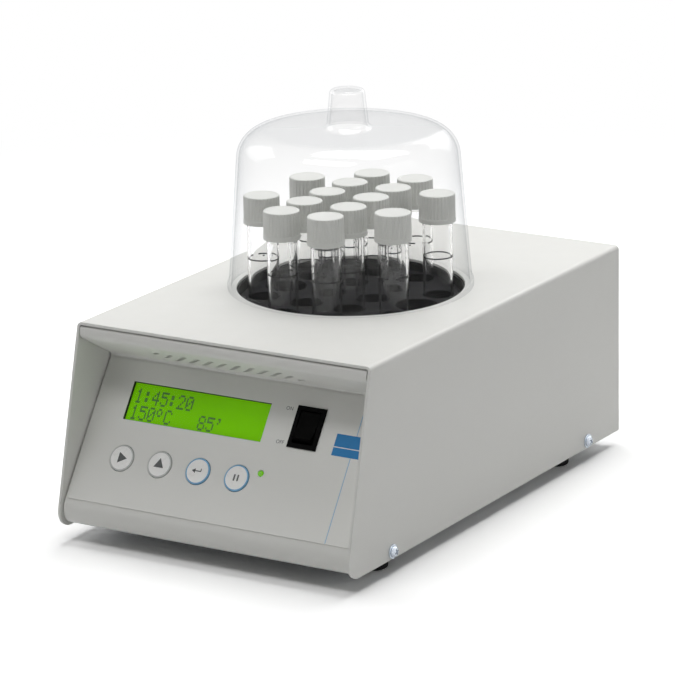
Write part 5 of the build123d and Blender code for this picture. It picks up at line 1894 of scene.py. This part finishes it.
@dataclass
class PowerBoard:
    """Mains board with relay, capacitor, terminal block, resistors and a finned heat sink.

    Places on the board are in millimetres from the middle of its upper face.
    """

    board: tuple[float, float, float] = (88.0, 46.0, 1.6)
    relay: tuple[float, float, float] = (19.0, 15.5, 15.0)
    relay_spot: tuple[float, float] = (-29.33, -7.67)
    capacitor_radius: float = 6.5
    capacitor_height: float = 18.0
    capacitor_spot: tuple[float, float] = (0.0, 11.5)
    clamp: tuple[float, float, float] = (20.0, 10.0, 11.0)
    clamp_spot: tuple[float, float] = (-29.33, 13.94)
    clamp_poles: int = 3
    sink_web: tuple[float, float, float] = (3.0, 34.0, 24.0)
    sink_fin: tuple[float, float, float] = (16.0, 1.5, 24.0)
    sink_spot: tuple[float, float] = (29.33, 0.0)
    fins: int = 6
    fin_pitch: float = 6.0
    resistor: tuple[float, float] = (1.2, 6.0)

    def build(self) -> None:
        """Builds every part of the board and dresses it."""
        low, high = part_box("power_board")
        top = low.z + self.board[2] * MM
        place = Matrix.Translation(((low.x + high.x) / 2, (low.y + high.y) / 2, top))
        pieces = (
            (slab("mains_board", self.board, (0, 0, -self.board[2]), 1.5), Finishes.BOARD),
            (slab("relay", self.relay, (*self.relay_spot, 0), 0.8, 0.4), Finishes.RELAY),
            (self.wrap_capacitor(), Finishes.SLEEVE),
            (self.cap_capacitor(), Finishes.ALUMINIUM),
            (self.mould_clamp(), Finishes.CLAMP),
            (self.clamp_screws(), Finishes.PLATED),
            (self.extrude_sink(), Finishes.FIN),
            (self.fit_resistors(), Finishes.RESISTOR),
        )
        for piece, finish in pieces:
            placed(piece, place)
            dressed(piece, finish, "housing", ("power_board",))

    def wrap_capacitor(self) -> Object:
        """Turns the capacitor's shrunk sleeve, pinched in near its foot."""
        radius, height = self.capacitor_radius, self.capacitor_height - 0.3
        corners = [(0, 0), (radius - 0.3, 0), (radius, 2.0), (radius - 0.7, 3.2), (radius, 4.4)]
        corners += [(radius, height), (radius - 1.2, height), (radius - 1.2, height - 0.5)]
        corners += [(0, height - 0.5)]
        radii = (0.4, 0.5, 0.5, 0.5, 0.6, 0.0, 0.0)
        foot = Vector((*self.capacitor_spot, 0)) * MM
        return turned("capacitor", rounded(corners, radii, 4), foot, 40)

    def cap_capacitor(self) -> Object:
        """Turns the capacitor's bare metal end."""
        radius, height = self.capacitor_radius - 1.2, self.capacitor_height
        corners = [(0, height - 0.6), (radius, height - 0.6), (radius, height - 0.2)]
        corners += [(radius * 0.5, height - 0.05), (0, height - 0.35)]
        foot = Vector((*self.capacitor_spot, 0)) * MM
        return turned("capacitor_end", rounded(corners, (0.1, 0.2, 0.8), 4), foot, 40)

    def poles(self) -> list[float]:
        """Gives the place of each of the terminal block's poles across it."""
        pitch = self.clamp[0] / self.clamp_poles
        first = self.clamp_spot[0] - pitch * (self.clamp_poles - 1) / 2
        return [first + pitch * number for number in range(self.clamp_poles)]

    def mould_clamp(self) -> Object:
        """Moulds the terminal block with a screw well and a wire mouth for each pole."""
        clamp = slab("clamp", self.clamp, (*self.clamp_spot, 0), 0.5, 0.3)
        for across in self.poles():
            mouth = slab("mouth", (4.2, 4.0, 4.2), (across, self.clamp_spot[1] + 4.5, 2.0), 0.4)
            well = turned(
                "well",
                rounded([(0, 6.0), (2.0, 6.0), (2.0, 12.0), (0, 12.0)], (0.2, 0.0), 4),
                Vector((across, self.clamp_spot[1] - 0.5, 0)) * MM,
                24,
            )
            for cut in (mouth, well):
                modified(clamp, "BOOLEAN", object=cut, operation="DIFFERENCE", solver="EXACT")
                bpy.data.objects.remove(cut)
        return clamp

    def clamp_screws(self) -> Object:
        """Turns one slotted clamp screw and sets it in each well."""
        corners = [(0, 6.0), (1.8, 6.0), (1.8, 7.6), (0, 7.8)]
        screw = turned("clamp_screw", rounded(corners, (0.1, 0.3), 4), Vector(), 24)
        slot = slab("slot", (3.8, 0.5, 2.0), (0, 0, 7.2), 0.05, 0.02)
        modified(screw, "BOOLEAN", object=slot, operation="DIFFERENCE", solver="EXACT")
        bpy.data.objects.remove(slot)
        screws = [
            twin(screw, "screw", Matrix.Translation(Vector((x, self.clamp_spot[1] - 0.5, 0)) * MM))
            for x in self.poles()
        ]
        bpy.data.objects.remove(screw)
        return joined(screws, "clamp_screws")

    def extrude_sink(self) -> Object:
        """Stands the heat sink's web and its row of fins on the board."""
        foot = (*self.sink_spot, 0)
        web = slab("web", self.sink_web, foot, 0.3)
        fins = row(slab("fin", self.sink_fin, foot, 0.4), self.fins, (0, self.fin_pitch, 0))
        return joined([web, fins], "heat_sink")

    def fit_resistors(self) -> Object:
        """Turns one resistor and lays a few beside the capacitor."""
        radius, length = self.resistor
        corners = [(0, 0), (radius, 0), (radius, length * 0.25), (radius * 0.85, length * 0.35)]
        corners += [(radius * 0.85, length * 0.65), (radius, length * 0.75), (radius, length)]
        corners += [(0, length)]
        radii = (0.4, 0.2, 0.2, 0.2, 0.2, 0.4)
        barrel = turned("resistor", rounded(corners, radii, 3), Vector(), 20)
        lying = Matrix.Translation(Vector((-8.0, -12.0, radius)) * MM) @ Matrix.Rotation(pi / 2, 4, "Y")
        return row(placed(barrel, lying), 3, (0, 4.0, 0), centred=False)


@dataclass
class PowerSupply:
    """Transformer, mains board, inlet with its blades, fuse drawer and the boards' standoffs."""

    edge: float = 0.3 * MM
    blade: tuple[float, float, float] = (2.06, 4.06, 14.03)
    blade_span: float = 14.0
    socket_rise: float = 9.0
    socket_depth: float = 17.0
    flange: float = 2.4

    def build(self) -> None:
        """Builds and dresses the power supply."""
        Transformer().build()
        PowerBoard().build()
        for node, finish, slot in (
            ("board_standoffs", Finishes.BRASS, "plated_steel"),
            ("power_inlet", Finishes.SWITCH, "switch_black"),
        ):
            piece = refined(node, self.edge)
            dressed(piece, finish, "housing", (node,))
        self.build_blades()
        drawer = refined("fuse_drawer", 0.2 * MM)
        dressed(drawer, Finishes.SWITCH, "fuse_drawer", ("fuse_drawer",))

    def build_blades(self) -> None:
        """Plates the inlet's three blades: two side by side and the earth blade above them."""
        low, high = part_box("power_inlet")
        middle = (low + high) / 2 / MM
        width, height, length = self.blade
        root = high.y / MM - self.socket_depth
        level = middle.z + self.socket_rise
        blades = []
        for across, rise in ((-0.5, -1), (0.5, -1), (0.0, 1)):
            blade = slab("blade", (width, height, length), (0, 0, 0), 0.3, 0.25)
            spot = Vector((middle.x + across * self.blade_span, root, level + rise * 2.0))
            placed(blade, Matrix.Translation(spot * MM) @ Matrix.Rotation(-pi / 2, 4, "X"))
            blades.append(blade)
        piece = joined(blades, "inlet_blades")
        dressed(piece, Finishes.PLATED, "housing", ("power_inlet",))


def main() -> None:
    """Builds the reactor's looks in order."""
    logging.basicConfig(level=logging.INFO, format="%(message)s")
    for assembly in (
        Studio(),
        Housing(),
        ControlPanel(),
        HeatingUnit(),
        Vial(),
        Dome(),
        PowerSupply(),
    ):
        assembly.build()


if __name__ == "__main__":
    main()
